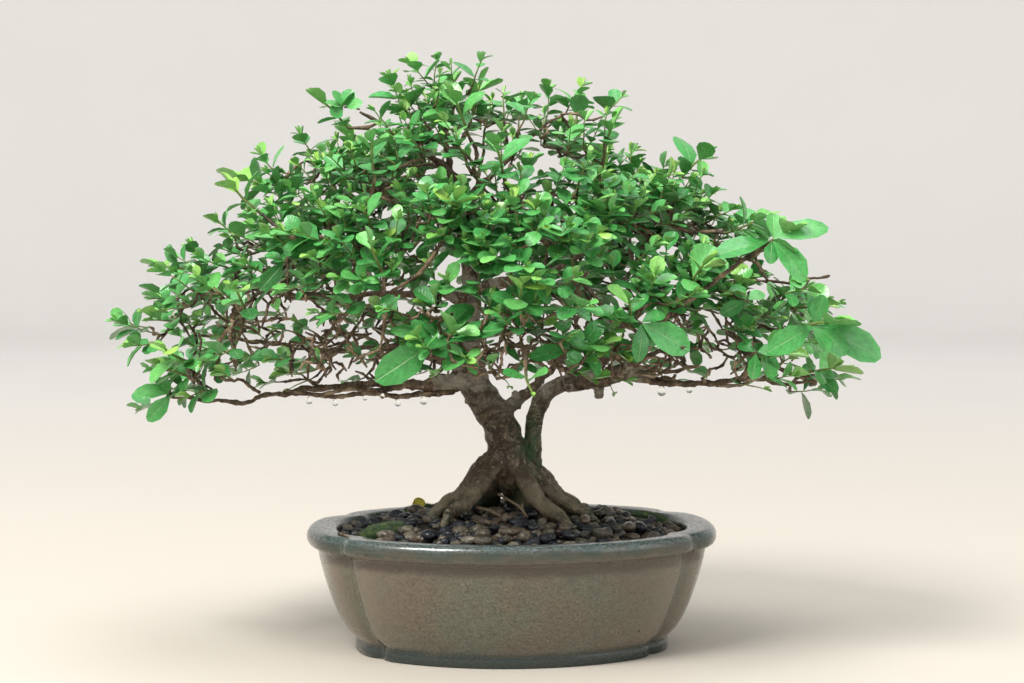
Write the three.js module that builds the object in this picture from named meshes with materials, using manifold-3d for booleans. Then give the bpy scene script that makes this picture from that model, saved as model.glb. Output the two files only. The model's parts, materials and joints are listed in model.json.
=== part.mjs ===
// Night-blooming jasmine bonsai in its oval glazed pot. Millimetres, +Z up, the front is -Y.
//
// The pot stands on its foot ring. Soil fills it, gravel covers the soil, and the tree stands in
// both. The tree is one piece of wood: a leaning trunk, a thinner one beside it, surface roots,
// crooked limbs, and twigs that a seeded rule grows from the limbs to the crown. Each twig ends in
// a leafy shoot, which is a body of its own: a green stem with its leaves fused to it.

import * as THREE from 'three';
import { mergeVertices } from 'three/addons/utils/BufferGeometryUtils.js';
import Module from 'manifold-3d';

const wasm = await Module();
wasm.setup();

// Driving dimensions.
const gap = 0.35; // between bodies that touch
const pot = {
  height: 72,
  frontArc: { radius: 160.5, offset: 70.5 }, // half width 90
  endArc: { radius: 96.3, offset: 23.7 }, // half length 120
  cornerAngle: 25.25,
  notch: 0.03, // depth of the groove at each corner, as a share of the radius
  notchWidth: 5.5, // degrees
  floorTop: 9,
  drainRadius: 7,
  drainX: 45,
};
const drainMesh = { side: 22, thickness: 1 };
const ground = { edge: 67.5, mound: 12, depth: 3.6, scale: 0.828 }; // gravel, highest at the trunk
const pebbles = { count: 150, radius: 7.6, height: 4.4, rings: 10, seed: 41, scatter: 3, mossMargin: 9 };
const sideCounts = { trunk: 9, secondTrunk: 7, root: 5, limb: 5, thinLimb: 4, twig: 3 };
const thinLimb = 3.5; // radius where it starts
const crown = { // the outline that the shoots fill, round the point at x and z
  x: -3, z: 158, left: 227, right: 211, depth: 146, top: 178, leftPower: 2.1, rightPower: 1.6, frontRise: 14,
};
const shoots = {
  places: 44, apart: 34, seed: 30, reach: 0.87, reachSpread: 0.06, turnSpread: 0.25,
  lowest: -0.03, lowering: 1.15,
};
const sprays = [ // where the twigs of the largest sprays end
  [-46, -99, 184], [-10, -88, 196], [21, -104, 181], [56, -104, 193], [22, -79, 250], [125, -98, 234],
  [149, -94, 191], [-95, -71, 231], [-184, -17, 160], [163, -41, 162], [-93, 8, 303],
];
const twigRule = {
  step: 22, wander: 2.6, sag: 0.06, turningBack: 0.5, crowding: 12,
  forkShare: 0.5, forkRadius: 1.6, startRadius: 1.5, tipRadius: 1, knotRadius: 1.3,
};
const stemRule = {
  radius: 0.95, taper: 0.12, start: 1.2, outward: 0.75, onward: 0.5, upward: 0.12, bend: 0.35,
};
const leafPairs = [ // from the twig outward, with one more leaf on the stem's end
  { step: 5, spread: 1.2, size: 23 },
  { step: 8, spread: 1.1, size: 26 },
  { step: 8, spread: 0.85, size: 22 },
];
const endLeaf = { size: 19, sunk: 0.7 };
const leafRule = {
  big: 1.3, bigShare: 0.12, widthShare: 0.66, keel: 1.3, arch: 0.42, droop: 0.04,
  seat: 0.55, stagger: 0.8, pairTurn: 1.45, firstTurn: 0.8, lean: 0.3, tilt: 0.5, outward: 0.55, onward: 0.3,
};

// Routes of the wood, each point as x, y, z and radius. The hidden parts of the limbs are guessed.
const trunk = [
  [3, 0, 64, 15], [3, 0, 82, 15], [0, 0, 95, 12.4], [-2, 0, 107, 12.2], [-4, 0, 121, 10.9],
  [-8, 1, 133, 10.2], [-15, 1, 143, 10], [-22, 2, 153, 8.8], [-26, 4, 163, 7.6],
];
const secondTrunk = [
  [8, 4, 78, 8], [9, 3, 95, 7], [12, 3, 105, 6.4], [13, 3, 114, 5.4], [13, 4, 126, 4.9],
  [15, 4, 138, 5], [20, 2, 147, 5.4], [27, 0, 153, 5], [37, -3, 156, 4.8],
];
const limbs = {
  leader: [[-24, 3, 158, 8], [-25, 7, 177, 6.4], [-23, 9, 195, 5.6], [-24, 8, 215, 5],
    [-26, 6, 238, 4.2], [-29, 6, 258, 3.3], [-35, 7, 279, 2.5], [-38, 6, 299, 1.8], [-42, 5, 318, 1.2]],
  lowRight: [[32, -2, 155, 4.9], [50, -8, 157, 4.2], [65, -13, 160, 3.9], [82, -18, 159, 3.3],
    [101, -24, 156, 2.9], [121, -28, 157, 2.4], [140, -31, 159, 2.1], [152, -32, 155, 1.9],
    [165, -33, 156, 1.6], [181, -32, 157, 1.2]],
  lowLeft: [[-24, 2, 156, 5.5], [-48, -6, 155, 4], [-92, -13, 156, 3], [-129, -14, 153, 2.4],
    [-163, -11, 149, 1.9], [-198, -4, 152, 1.1]],
  backLeft: [[-26, 4, 164, 5], [-40, 17, 168, 4], [-69, 37, 173, 3], [-113, 51, 172, 2.3],
    [-160, 57, 179, 1.5], [-184, 57, 182, 1.1]],
  midLeft: [[-23, 10, 200, 4.2], [-39, 1, 208, 3.6], [-70, -11, 206, 3], [-121, -17, 207, 2],
    [-144, -17, 214, 1.5], [-168, -13, 226, 1.1]],
  frontLeft: [[-24, 2, 163, 4.4], [-38, -33, 171, 3.2], [-57, -72, 177, 2.2], [-79, -106, 182, 1.2]],
  rearLeft: [[-25, 7, 179, 4.2], [-40, 49, 183, 3.2], [-63, 92, 189, 2.2], [-82, 108, 192, 1.2]],
  greyRight: [[-2, 2, 140, 3.6], [10, 9, 148, 3], [21, 20, 156, 2.9], [43, 55, 173, 2.2],
    [64, 80, 180, 1.8], [88, 103, 186, 1.2]],
  midRight: [[38, -3, 157, 4], [52, 2, 166, 3.2], [82, 6, 184, 2.8], [105, 2, 203, 2.2],
    [136, -6, 215, 1.8], [162, -13, 214, 1.4], [184, -18, 218, 1.1]],
  upRight: [[93, 5, 192, 2.4], [77, 10, 217, 1.8], [71, 10, 233, 1.5], [73, 9, 255, 1.1]],
  frontRight: [[58, -11, 159, 3.4], [63, -49, 169, 2.6], [73, -86, 178, 1.9], [84, -114, 184, 1.2]],
  front: [[-22, 2, 161, 4], [-20, -39, 170, 3], [-15, -81, 180, 2.1], [-5, -118, 189, 1.3]],
  rear: [[-24, 8, 179, 4], [-14, 47, 182, 3], [-3, 88, 188, 2.1], [6, 120, 192, 1.2]],
  highRight: [[-23, 8, 208, 3.8], [7, -11, 217, 2.9], [23, -14, 222, 2.5], [41, -17, 233, 2.1],
    [61, -19, 247, 1.6], [84, -19, 259, 1.1]],
  highLeft: [[-26, 6, 241, 3.2], [-56, 14, 258, 2.4], [-76, 18, 267, 2], [-100, 20, 276, 1.5],
    [-120, 20, 284, 1.1]],
  highFront: [[-26, 6, 232, 3.2], [-20, -28, 241, 2.4], [-11, -59, 250, 1.8], [-2, -86, 257, 1.1]],
  highRear: [[-26, 7, 238, 3.2], [-22, 38, 246, 2.4], [-15, 71, 256, 1.8], [-9, 92, 262, 1.1]],
  topRight: [[-29, 6, 257, 2.6], [-4, -4, 284, 1.9], [10, -5, 299, 1.6], [28, -4, 311, 1.1]],
  topLeft: [[-33, 7, 274, 2.2], [-47, 8, 287, 1.9], [-65, 11, 299, 1.6], [-88, 12, 314, 1.1]],
};
const roots = [
  [[-4, 0, 113, 6], [-15, -1, 106, 6.6], [-23, -2, 98, 6], [-31, -4, 90, 5], [-40, -5, 84, 4],
    [-53, -8, 71, 2.6]],
  [[-5, -1, 110, 6], [-16, -9, 100, 5.6], [-22, -14, 92, 4.8], [-29, -20, 86, 4], [-38, -26, 81, 3],
    [-46, -33, 69, 2]],
  [[-1, -1, 113, 6], [6, -9, 101, 5.8], [11, -16, 92, 5.3], [18, -24, 84, 4.8], [26, -32, 79, 4.2],
    [36, -45, 66, 2.6]],
  [[4, 1, 109, 6], [15, -1, 98, 5.2], [23, -5, 89, 4.5], [33, -9, 83, 4], [42, -11, 79, 3], [52, -15, 68, 2]],
  [[6, 4, 106, 5], [17, 11, 100, 4.6], [24, 14, 93, 3.8], [31, 18, 86, 3.2], [40, 21, 80, 2.5],
    [50, 26, 68, 1.8]],
  [[-3, 2, 112, 6], [-12, 18, 99, 5.6], [-18, 31, 90, 4.4], [-27, 42, 82, 3.2], [-36, 54, 68, 2]],
  [[1, 3, 112, 6], [4, 21, 99, 5.4], [9, 34, 91, 4.2], [16, 46, 83, 3.2], [22, 58, 67, 2]],
];
const stubs = [
  [[48, -8, 157, 3], [50, -8, 151, 2.7], [50, -8, 146, 2.4]],
  [[-19, -3, 147, 4], [-24, -6, 146, 3.4], [-27, -8, 144, 2.2]],
  [[2, 6, 139, 3], [3, 5, 145, 2.4], [1, 4, 149, 1.8]],
];
const mossCushions = {
  moss_front_left: { x: -76, y: -25, length: 13, width: 8, height: 4 },
  moss_right: { x: 84, y: 14, length: 11, width: 8, height: 4 },
  moss_back_left: { x: -52, y: 48, length: 12, width: 8, height: 4.5 },
};

const material = (color, roughness, metalness = 0) =>
  new THREE.MeshStandardMaterial({ color, roughness, metalness });
const finishes = {
  glaze: material(0x62685c, 0.35),
  plastic: material(0x23272a, 0.6),
  soil: material(0x3a2d24, 0.95),
  gravel: material(0x6b5f57, 0.6),
  moss: material(0x3d5a1c, 1),
  bark: material(0x6f5a48, 0.75),
  leaf: material(0x2f8f34, 0.35),
};

const group = new THREE.Group();
const goldenAngle = Math.PI * (3 - Math.sqrt(5));

function place(name, geometry, finish) {
  const mesh = new THREE.Mesh(geometry, finish);
  mesh.name = name;
  group.add(mesh);
}

// Seeded draws from 0 to 1, the same ones on every run.
function seededDraws(seed) {
  let state = seed >>> 0;
  return () => {
    state = (state + 0x6d2b79f5) >>> 0;
    let mixed = Math.imul(state ^ (state >>> 15), state | 1);
    mixed = (mixed + Math.imul(mixed ^ (mixed >>> 7), mixed | 61)) ^ mixed;
    return ((mixed ^ (mixed >>> 14)) >>> 0) / 4294967296;
  };
}

function toSolid(geometry) {
  const bare = geometry.clone();
  bare.deleteAttribute('normal');
  bare.deleteAttribute('uv');
  const merged = mergeVertices(bare, 1e-4);
  const vertProperties = new Float32Array(merged.attributes.position.array);
  const triVerts = new Uint32Array(merged.index.array);
  return new wasm.Manifold(new wasm.Mesh({ numProp: 3, vertProperties, triVerts }));
}

function toGeometry(solid) {
  const { vertProperties, triVerts } = solid.getMesh();
  const geometry = new THREE.BufferGeometry();
  geometry.setAttribute('position', new THREE.BufferAttribute(new Float32Array(vertProperties), 3));
  geometry.setIndex(Array.from(triVerts));
  geometry.computeVertexNormals();
  return geometry;
}

const fuse = (solids) => wasm.Manifold.union(solids);

// The largest body of a solid, without the loose scraps that a cut leaves.
function largestBody(solid) {
  const bodies = solid.decompose();
  return bodies.reduce((best, body) => (body.volume() > best.volume() ? body : best));
}

// Skins closed rings of equal count, from the first ring to the last. Each end is closed by a fan,
// from the centre that is given for it or else from the first corner of its ring.
function loft(rings, firstCentre, lastCentre) {
  const count = rings[0].length;
  const points = rings.flat();
  const first = firstCentre ? points.push(firstCentre) - 1 : 0;
  const lastRing = (rings.length - 1) * count;
  const last = lastCentre ? points.push(lastCentre) - 1 : lastRing;
  const indices = [];
  for (let side = 0; side < count; side += 1) {
    const next = (side + 1) % count;
    for (let ring = 0; ring < rings.length - 1; ring += 1) {
      const low = ring * count;
      const high = low + count;
      indices.push(low + side, low + next, high + next, low + side, high + next, high + side);
    }
    if (side !== first && next !== first) indices.push(first, next, side);
    const ends = [lastRing + side, lastRing + next];
    if (!ends.includes(last)) indices.push(last, ...ends);
  }
  const geometry = new THREE.BufferGeometry().setFromPoints(points);
  geometry.setIndex(indices);
  return geometry;
}

const asVector = ([x, y, z]) => new THREE.Vector3(x, y, z);

// A round tube along a route of x, y, z and radius, with flat ends.
function tube(route, sides, extra = 0) {
  const points = route.map(asVector);
  const across = new THREE.Vector3(0.3, 0.8, 0.52).normalize();
  const rings = points.map((point, index) => {
    const before = points[Math.max(index - 1, 0)];
    const after = points[Math.min(index + 1, points.length - 1)];
    const along = after.clone().sub(before).normalize();
    across.addScaledVector(along, -across.dot(along)).normalize();
    const up = along.clone().cross(across);
    const radius = route[index][3] + extra;
    return Array.from({ length: sides }, (_, side) => {
      const angle = (side / sides) * 2 * Math.PI;
      return point.clone()
        .addScaledVector(across, radius * Math.cos(angle))
        .addScaledVector(up, radius * Math.sin(angle));
    });
  });
  return loft(rings);
}

// Pot: four shallow lobes that meet in a groove at each corner.
function potRadius(angle) {
  const c = Math.abs(Math.cos(angle));
  const s = Math.abs(Math.sin(angle));
  const { frontArc, endArc } = pot;
  const toFront = Math.sqrt(frontArc.radius ** 2 - (frontArc.offset * c) ** 2) - frontArc.offset * s;
  const toEnd = Math.sqrt(endArc.radius ** 2 - (endArc.offset * s) ** 2) + endArc.offset * c;
  const folded = THREE.MathUtils.radToDeg(Math.atan2(s, c));
  const offCorner = (folded - pot.cornerAngle) / pot.notchWidth;
  return Math.min(toFront, toEnd) * (1 - pot.notch * Math.exp(-offCorner * offCorner));
}

function potAngles() {
  const quarter = [0, 10, 19.5, pot.cornerAngle, 31, 42, 56, 73];
  const half = [...quarter, 90, ...quarter.slice(1).reverse().map((angle) => 180 - angle)];
  return [...half, ...half.map((angle) => angle + 180)].map(THREE.MathUtils.degToRad);
}

const around = potAngles();

function potRing(scale, z) {
  return around.map((angle) => {
    const radius = potRadius(angle) * scale;
    return new THREE.Vector3(radius * Math.cos(angle), radius * Math.sin(angle), z);
  });
}

function potSolid() {
  const profile = [
    [0.66, 3.5], [0.68, 0], [0.765, 0], [0.757, 5.5], [0.775, 8], [0.84, 19], [0.9, 38],
    [0.945, 58], [0.992, 62], [1, 67], [0.975, pot.height], [0.857, pot.height], [0.72, pot.floorTop],
  ];
  const rings = profile.map(([scale, z]) => potRing(scale, z));
  const below = new THREE.Vector3(0, 0, 3.5);
  const floor = new THREE.Vector3(0, 0, pot.floorTop);
  const drains = [-1, 1].map((side) => {
    const drill = new THREE.CylinderGeometry(pot.drainRadius, pot.drainRadius, 3 * pot.floorTop, 12);
    return toSolid(drill.rotateX(Math.PI / 2).translate(side * pot.drainX, 0, pot.floorTop / 2));
  });
  return toSolid(loft(rings, below, floor)).subtract(fuse(drains));
}

// Height of the gravel bed's upper face: highest at the trunk, low at the pot's wall.
function groundHeight(x, y) {
  const radius = Math.hypot(x, y);
  const share = radius / (potRadius(Math.atan2(y, x)) * ground.scale);
  return ground.edge + ground.mound * (1 - share * share);
}

// Height of the soil's upper face and of the gravel's lower one, which is a plain cone.
function coneHeight(share) {
  return ground.edge - ground.depth + ground.mound * (1 - share);
}

function soilSolid() {
  const bottom = pot.floorTop + 2 * gap + drainMesh.thickness;
  const top = coneHeight(1) - gap;
  const rings = [potRing(0.708, bottom), potRing(ground.scale - 0.008, top)];
  const peak = new THREE.Vector3(0, 0, coneHeight(0) - gap);
  return toSolid(loft(rings, new THREE.Vector3(0, 0, bottom), peak));
}

// A moss cushion: a dome that lies just clear of the gravel, with a rim that stands up a little.
function mossGeometry({ x, y, length, width, height }) {
  const clear = gap + 0.02;
  const rim = 0.6;
  const shape = new THREE.SphereGeometry(1, 8, 5);
  const spots = shape.attributes.position;
  for (let index = 0; index < spots.count; index += 1) {
    const point = new THREE.Vector3().fromBufferAttribute(spots, index);
    const spotX = x + length * point.x;
    const spotY = y + width * point.y;
    const rise = point.z > 0 ? point.z * height + rim : 0;
    spots.setXYZ(index, spotX, spotY, groundHeight(spotX, spotY) + clear + rise);
  }
  return shape;
}

// How far the pebbles stand out of the gravel at a place. Under a moss cushion it is flat.
function pebbleRelief() {
  const draw = seededDraws(pebbles.seed);
  const stones = Array.from({ length: pebbles.count }, (_, index) => {
    const angle = index * goldenAngle;
    const reach = potRadius(angle) * ground.scale * Math.sqrt((index + 0.5) / pebbles.count);
    const height = pebbles.height * (0.7 + 0.5 * draw());
    const x = reach * Math.cos(angle) + pebbles.scatter * draw();
    const y = reach * Math.sin(angle) + pebbles.scatter * draw();
    return { x, y, height };
  });
  const nearMoss = (x, y, moss) => {
    const shareX = (x - moss.x) / (moss.length + pebbles.mossMargin);
    const shareY = (y - moss.y) / (moss.width + pebbles.mossMargin);
    return Math.hypot(shareX, shareY) < 1;
  };
  return (x, y) => {
    const mossy = Object.values(mossCushions).some((moss) => nearMoss(x, y, moss));
    const bumps = stones.map((stone) => {
      const share = Math.hypot(x - stone.x, y - stone.y) / pebbles.radius;
      return stone.height * (1 - share * share);
    });
    return mossy ? 0 : Math.max(0, ...bumps);
  };
}

// Gravel: rings of 6, 12, 18 ... points round the middle, raised by the pebbles, over a cone.
function gravelSolid() {
  const relief = pebbleRelief();
  const points = [new THREE.Vector3(0, 0, groundHeight(0, 0))];
  const indices = [];
  const corner = (ring, index) => (ring === 0 ? 0 : 1 + 3 * ring * (ring - 1) + (index % (6 * ring)));
  for (let ring = 1; ring <= pebbles.rings; ring += 1) {
    for (let index = 0; index < 6 * ring; index += 1) {
      const angle = (index / ring) * (Math.PI / 3);
      const reach = potRadius(angle) * ground.scale * (ring / pebbles.rings);
      const x = reach * Math.cos(angle);
      const y = reach * Math.sin(angle);
      points.push(new THREE.Vector3(x, y, groundHeight(x, y) + relief(x, y)));
      const step = index % ring;
      const inner = Math.floor(index / ring) * (ring - 1) + step;
      indices.push(corner(ring - 1, inner), corner(ring, index), corner(ring, index + 1));
      if (step < ring - 1) {
        indices.push(corner(ring - 1, inner), corner(ring, index + 1), corner(ring - 1, inner + 1));
      }
    }
  }
  const edge = 6 * pebbles.rings;
  const edgeStart = points.length - edge;
  const low = points.slice(edgeStart).map((point) => point.clone().multiplyScalar(0.992).setZ(coneHeight(1)));
  const lowStart = points.push(...low) - edge;
  const bottom = points.push(new THREE.Vector3(0, 0, coneHeight(0))) - 1;
  for (let index = 0; index < edge; index += 1) {
    const next = (index + 1) % edge;
    indices.push(lowStart + index, lowStart + next, edgeStart + next);
    indices.push(lowStart + index, edgeStart + next, edgeStart + index);
    indices.push(bottom, lowStart + next, lowStart + index);
  }
  const geometry = new THREE.BufferGeometry().setFromPoints(points);
  geometry.setIndex(indices);
  return toSolid(geometry);
}

// Growth of the twigs. A knot is a point of the wood with its radius and the knot it grew from.
function crownPoint(direction, reach) {
  const [dx, dy, dz] = direction;
  const rightness = Math.min(Math.max(dx + 0.5, 0), 1);
  const power = crown.leftPower + (crown.rightPower - crown.leftPower) * rightness;
  const half = dx < 0 ? crown.left : crown.right;
  const sum = Math.abs(dx / half) ** power + Math.abs(dy / crown.depth) ** power
    + Math.abs(dz / crown.top) ** power;
  const radius = reach / sum ** (1 / power);
  const rise = crown.frontRise * Math.max(0, -dy * radius / crown.depth) * (1 - dz);
  return [crown.x + dx * radius, dy * radius, crown.z + dz * radius + rise];
}

const distance = (a, b) => Math.hypot(a[0] - b[0], a[1] - b[1], a[2] - b[2]);

// The ends of the twigs: those of the largest sprays, then a spiral over the crown round them.
function crownTargets() {
  const draw = seededDraws(shoots.seed);
  const spiral = Array.from({ length: shoots.places }, (_, index) => {
    const share = ((index + 0.5) / shoots.places) ** shoots.lowering;
    const rise = shoots.lowest + (1 - shoots.lowest) * share;
    const flat = Math.sqrt(1 - rise * rise);
    const angle = index * goldenAngle + (draw() - 0.5) * shoots.turnSpread;
    const reach = shoots.reach + (draw() - 0.5) * shoots.reachSpread;
    return crownPoint([flat * Math.cos(angle), flat * Math.sin(angle), rise], reach);
  });
  const isFree = (at) => sprays.every((spray) => distance(spray, at) > shoots.apart);
  return [...sprays, ...spiral.filter(isFree)];
}

function limbKnots() {
  const knots = [];
  for (const route of Object.values(limbs)) {
    route.forEach((knot, index) => {
      if (index > 0) {
        const last = route[index - 1];
        const halfway = knot.map((value, part) => (value + last[part]) / 2);
        knots.push({ at: halfway, radius: halfway[3], from: last });
      }
    });
    knots.push({ at: route.at(-1), radius: route.at(-1)[3], from: route.at(-2) });
  }
  return knots;
}

// Joins each target to the cheapest knot, nearest pairs first, so that later twigs fork off
// earlier ones. A twig costs more the further it turns back from the way its knot grew.
function growTwigs(targets) {
  const draw = seededDraws(shoots.seed + 1);
  const knots = limbKnots();
  const waiting = targets.map((at, index) => ({ at, index }));
  const twigs = [];
  const cost = (target, knot) => {
    const way = distance(target, knot.at);
    const grown = distance(knot.at, knot.from) || 1;
    let straight = 0;
    for (let part = 0; part < 3; part += 1) {
      straight += ((target[part] - knot.at[part]) / way) * ((knot.at[part] - knot.from[part]) / grown);
    }
    return way * (1 + twigRule.turningBack * (1 - straight)) + (knot.crowded ? twigRule.crowding : 0);
  };
  while (waiting.length > 0) {
    let best = { cost: Infinity };
    for (const target of waiting) {
      for (const knot of knots) {
        const price = cost(target.at, knot);
        if (price < best.cost) best = { cost: price, target, knot };
      }
    }
    waiting.splice(waiting.indexOf(best.target), 1);
    best.knot.crowded = true;
    const way = distance(best.target.at, best.knot.at);
    const steps = Math.max(2, Math.round(way / twigRule.step));
    const forkRadius = Math.min(best.knot.radius * twigRule.forkShare, twigRule.forkRadius);
    const route = [[...best.knot.at.slice(0, 3), forkRadius]];
    let last = best.knot.at;
    for (let step = 1; step <= steps; step += 1) {
      const share = step / steps;
      const bow = step < steps ? 1 : 0;
      const at = best.knot.at.slice(0, 3).map((start, part) => {
        const straight = start + (best.target.at[part] - start) * share;
        return straight + bow * (draw() - 0.5) * 2 * twigRule.wander;
      });
      at[2] -= bow * twigRule.sag * way * (1 - share);
      route.push([...at, THREE.MathUtils.lerp(twigRule.startRadius, twigRule.tipRadius, share)]);
      const halfway = at.map((value, part) => (value + last[part]) / 2);
      const knot = { at: halfway, radius: twigRule.knotRadius, from: last, crowded: step === steps };
      if (step > 1) knots.push(knot);
      last = at;
    }
    twigs.push({ route, index: best.target.index });
  }
  return twigs;
}

// A shoot: a stem on from the twig's end, with leaves in pairs, each pair crosswise to the last,
// and one leaf that ends it.
function growShoot(twig) {
  const draw = seededDraws(1000 + shoots.seed * 50 + twig.index);
  const tip = asVector(twig.route.at(-1));
  const came = tip.clone().sub(asVector(twig.route.at(-2))).normalize();
  const outward = tip.clone().sub(new THREE.Vector3(crown.x, 0, crown.z)).normalize();
  const heading = outward.clone().multiplyScalar(stemRule.outward).addScaledVector(came, stemRule.onward);
  heading.z += stemRule.upward;
  heading.normalize();
  const leaves = [];
  const jitter = (size) => new THREE.Vector3(draw() - 0.5, draw() - 0.5, draw() - 0.5).multiplyScalar(size);
  const addLeaf = (seat, along, leaning, size) => {
    const axis = leaning.clone().add(jitter(leafRule.lean)).normalize();
    const face = new THREE.Vector3(0, 0, 1).addScaledVector(outward, leafRule.outward);
    face.addScaledVector(along, leafRule.onward).add(jitter(leafRule.tilt));
    face.addScaledVector(axis, -face.dot(axis)).normalize();
    const big = draw() < leafRule.bigShare ? leafRule.big : 1;
    const length = size * big * (0.85 + 0.3 * draw());
    const width = length * leafRule.widthShare * (0.9 + 0.2 * draw());
    leaves.push({ at: seat, axis, face, length, width });
  };
  const addPair = (start, along, step, twist, spread, size) => {
    const side = new THREE.Vector3().crossVectors(along, new THREE.Vector3(0.2, 0.1, 1)).normalize();
    const up = new THREE.Vector3().crossVectors(side, along).normalize();
    for (const sign of [-1, 1]) {
      const lean = side.clone().multiplyScalar(Math.cos(twist) * sign);
      lean.addScaledVector(up, Math.sin(twist) * sign);
      const leaning = along.clone().multiplyScalar(Math.cos(spread)).addScaledVector(lean, Math.sin(spread));
      const seat = start.clone().addScaledVector(along, step * leafRule.seat + leafRule.stagger * sign);
      addLeaf(seat, along, leaning, size);
    }
  };
  const turn = draw() * leafRule.firstTurn;
  let way = heading;
  let at = tip.clone().addScaledVector(came, gap + stemRule.start * stemRule.radius);
  const stem = [[...at.toArray(), stemRule.radius]];
  leafPairs.forEach(({ step, spread, size }, index) => {
    way = way.clone().add(jitter(stemRule.bend)).normalize();
    addPair(at, way, step, turn + index * leafRule.pairTurn, spread, size);
    at = at.clone().addScaledVector(way, step);
    stem.push([...at.toArray(), stemRule.radius * (1 - stemRule.taper * (index + 1))]);
  });
  addLeaf(at.clone().addScaledVector(way, -endLeaf.sunk), way, way, endLeaf.size);
  return { stem, leaves };
}

// A leaf's blade: arched, widest past its middle, flat above, with the midrib as a keel below.
function leafGeometry(leaf, extra = 0) {
  const across = new THREE.Vector3().crossVectors(leaf.face, leaf.axis);
  const stations = [{ along: 0.36, half: 0.45 }, { along: 0.72, half: 0.42 }];
  const spot = (along, sideways, lift) => leaf.at.clone()
    .addScaledVector(leaf.axis, along)
    .addScaledVector(across, sideways)
    .addScaledVector(leaf.face, lift);
  const length = leaf.length + extra;
  const rings = stations.map(({ along, half }) => {
    const out = along * length;
    const wide = half * leaf.width + extra;
    const arch = length * leafRule.arch * along * (1 - along);
    const rim = [wide, -wide].map((sideways) => spot(out, sideways, arch + extra));
    return [...rim, spot(out, 0, arch - leafRule.keel - extra)];
  });
  return loft(rings, spot(0, 0, 0), spot(length, 0, -leafRule.droop * length));
}

const boxed = (solid) => ({ solid, box: solid.boundingBox() });

function meet(a, b) {
  const overlap = (part) => a.box.min[part] < b.box.max[part] && b.box.min[part] < a.box.max[part];
  return [0, 1, 2].every(overlap) && a.solid.intersect(b.solid).volume() > 0;
}

// Leaves that would meet another body, or another leaf of their shoot, are turned, then made
// smaller, and else left out. Beside its own shoot, the room that a leaf needs starts off the stem.
function fitLeaf(leaf, ownShoot, others) {
  const offStem = 2.4;
  for (const scale of [1, 0.8]) {
    for (const turn of [0, 0.35, -0.35, 0.7, -0.7]) {
      const axis = leaf.axis.clone().applyAxisAngle(leaf.face, turn);
      const turned = { ...leaf, axis, length: leaf.length * scale, width: leaf.width * scale };
      const start = leaf.at.clone().addScaledVector(axis, offStem);
      const room = boxed(toSolid(leafGeometry({ ...turned, at: start }, gap)));
      const whole = boxed(toSolid(leafGeometry(turned, gap)));
      const isFree = !ownShoot.some((body) => meet(room, body)) && !others.some((body) => meet(whole, body));
      if (isFree) return { ...turned, room };
    }
  }
  return null;
}

place('pot', toGeometry(potSolid()), finishes.glaze);
for (const [name, side] of [['drain_mesh_left', -1], ['drain_mesh_right', 1]]) {
  const sheet = new THREE.BoxGeometry(drainMesh.side, drainMesh.side, drainMesh.thickness);
  sheet.translate(side * pot.drainX, 0, pot.floorTop + gap + drainMesh.thickness / 2);
  place(name, sheet, finishes.plastic);
}

const twigs = growTwigs(crownTargets());
const trunks = [[trunk, sideCounts.trunk], [secondTrunk, sideCounts.secondTrunk]];
const limbSides = (route) => (route[0][3] < thinLimb ? sideCounts.thinLimb : sideCounts.limb);
const wood = fuse([
  ...trunks.map(([route, sides]) => toSolid(tube(route, sides))),
  ...roots.map((route) => toSolid(tube(route, sideCounts.root))),
  ...[...Object.values(limbs), ...stubs].map((route) => toSolid(tube(route, limbSides(route)))),
  ...twigs.map((twig) => toSolid(tube(twig.route, sideCounts.twig))),
]);
place('wood', toGeometry(wood), finishes.bark);

// The room that the wood's buried ends need: a little wider and deeper than they are.
const deeper = ([x, y, z, radius]) => [x * 1.01, y * 1.01, z - 2 * gap, radius];
const roomAround = gap + 0.15;
const rootRoom = fuse([
  ...trunks.map(([route, sides]) => toSolid(tube([deeper(route[0]), ...route.slice(1)], sides, roomAround))),
  ...roots.map((route) => {
    const longer = [...route.slice(0, -1), deeper(route.at(-1))];
    return toSolid(tube(longer, sideCounts.root, roomAround));
  }),
]);

place('soil', toGeometry(largestBody(soilSolid().subtract(rootRoom))), finishes.soil);
place('gravel', toGeometry(largestBody(gravelSolid().subtract(rootRoom))), finishes.gravel);
for (const [name, moss] of Object.entries(mossCushions)) {
  place(name, toGeometry(toSolid(mossGeometry(moss))), finishes.moss);
}

const built = [];
const shootStems = twigs.map((twig) => ({ index: twig.index, ...growShoot(twig) }));
shootStems.sort((a, b) => a.index - b.index);
for (const shoot of shootStems) {
  const stem = boxed(toSolid(tube(shoot.stem, sideCounts.twig)));
  built.push({ shoot, stem, leaves: [] });
}
for (const spray of built) {
  const ownShoot = [spray.stem];
  for (const leaf of spray.shoot.leaves) {
    const others = built.filter((other) => other !== spray).flatMap((other) => [other.stem, ...other.leaves]);
    const fitted = fitLeaf(leaf, ownShoot, [boxed(wood), ...others]);
    if (fitted) {
      spray.leaves.push(boxed(toSolid(leafGeometry(fitted))));
      ownShoot.push(fitted.room);
    }
  }
  const whole = largestBody(fuse([spray.stem, ...spray.leaves].map((body) => body.solid)));
  place(`shoot_${String(spray.shoot.index + 1).padStart(2, '0')}`, toGeometry(whole), finishes.leaf);
}

// The origin is under the middle of the whole object, on the surface that the pot stands on.
const bounds = new THREE.Box3().setFromObject(group);
const middle = bounds.getCenter(new THREE.Vector3());
group.position.set(-middle.x, -middle.y, -bounds.min.z);

export default group;
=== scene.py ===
# Night-blooming jasmine bonsai in its oval glazed pot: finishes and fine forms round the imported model.
import json
import math

import bpy
import numpy as np
from mathutils import Euler, Matrix, Vector, noise
from mathutils.kdtree import KDTree

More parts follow.
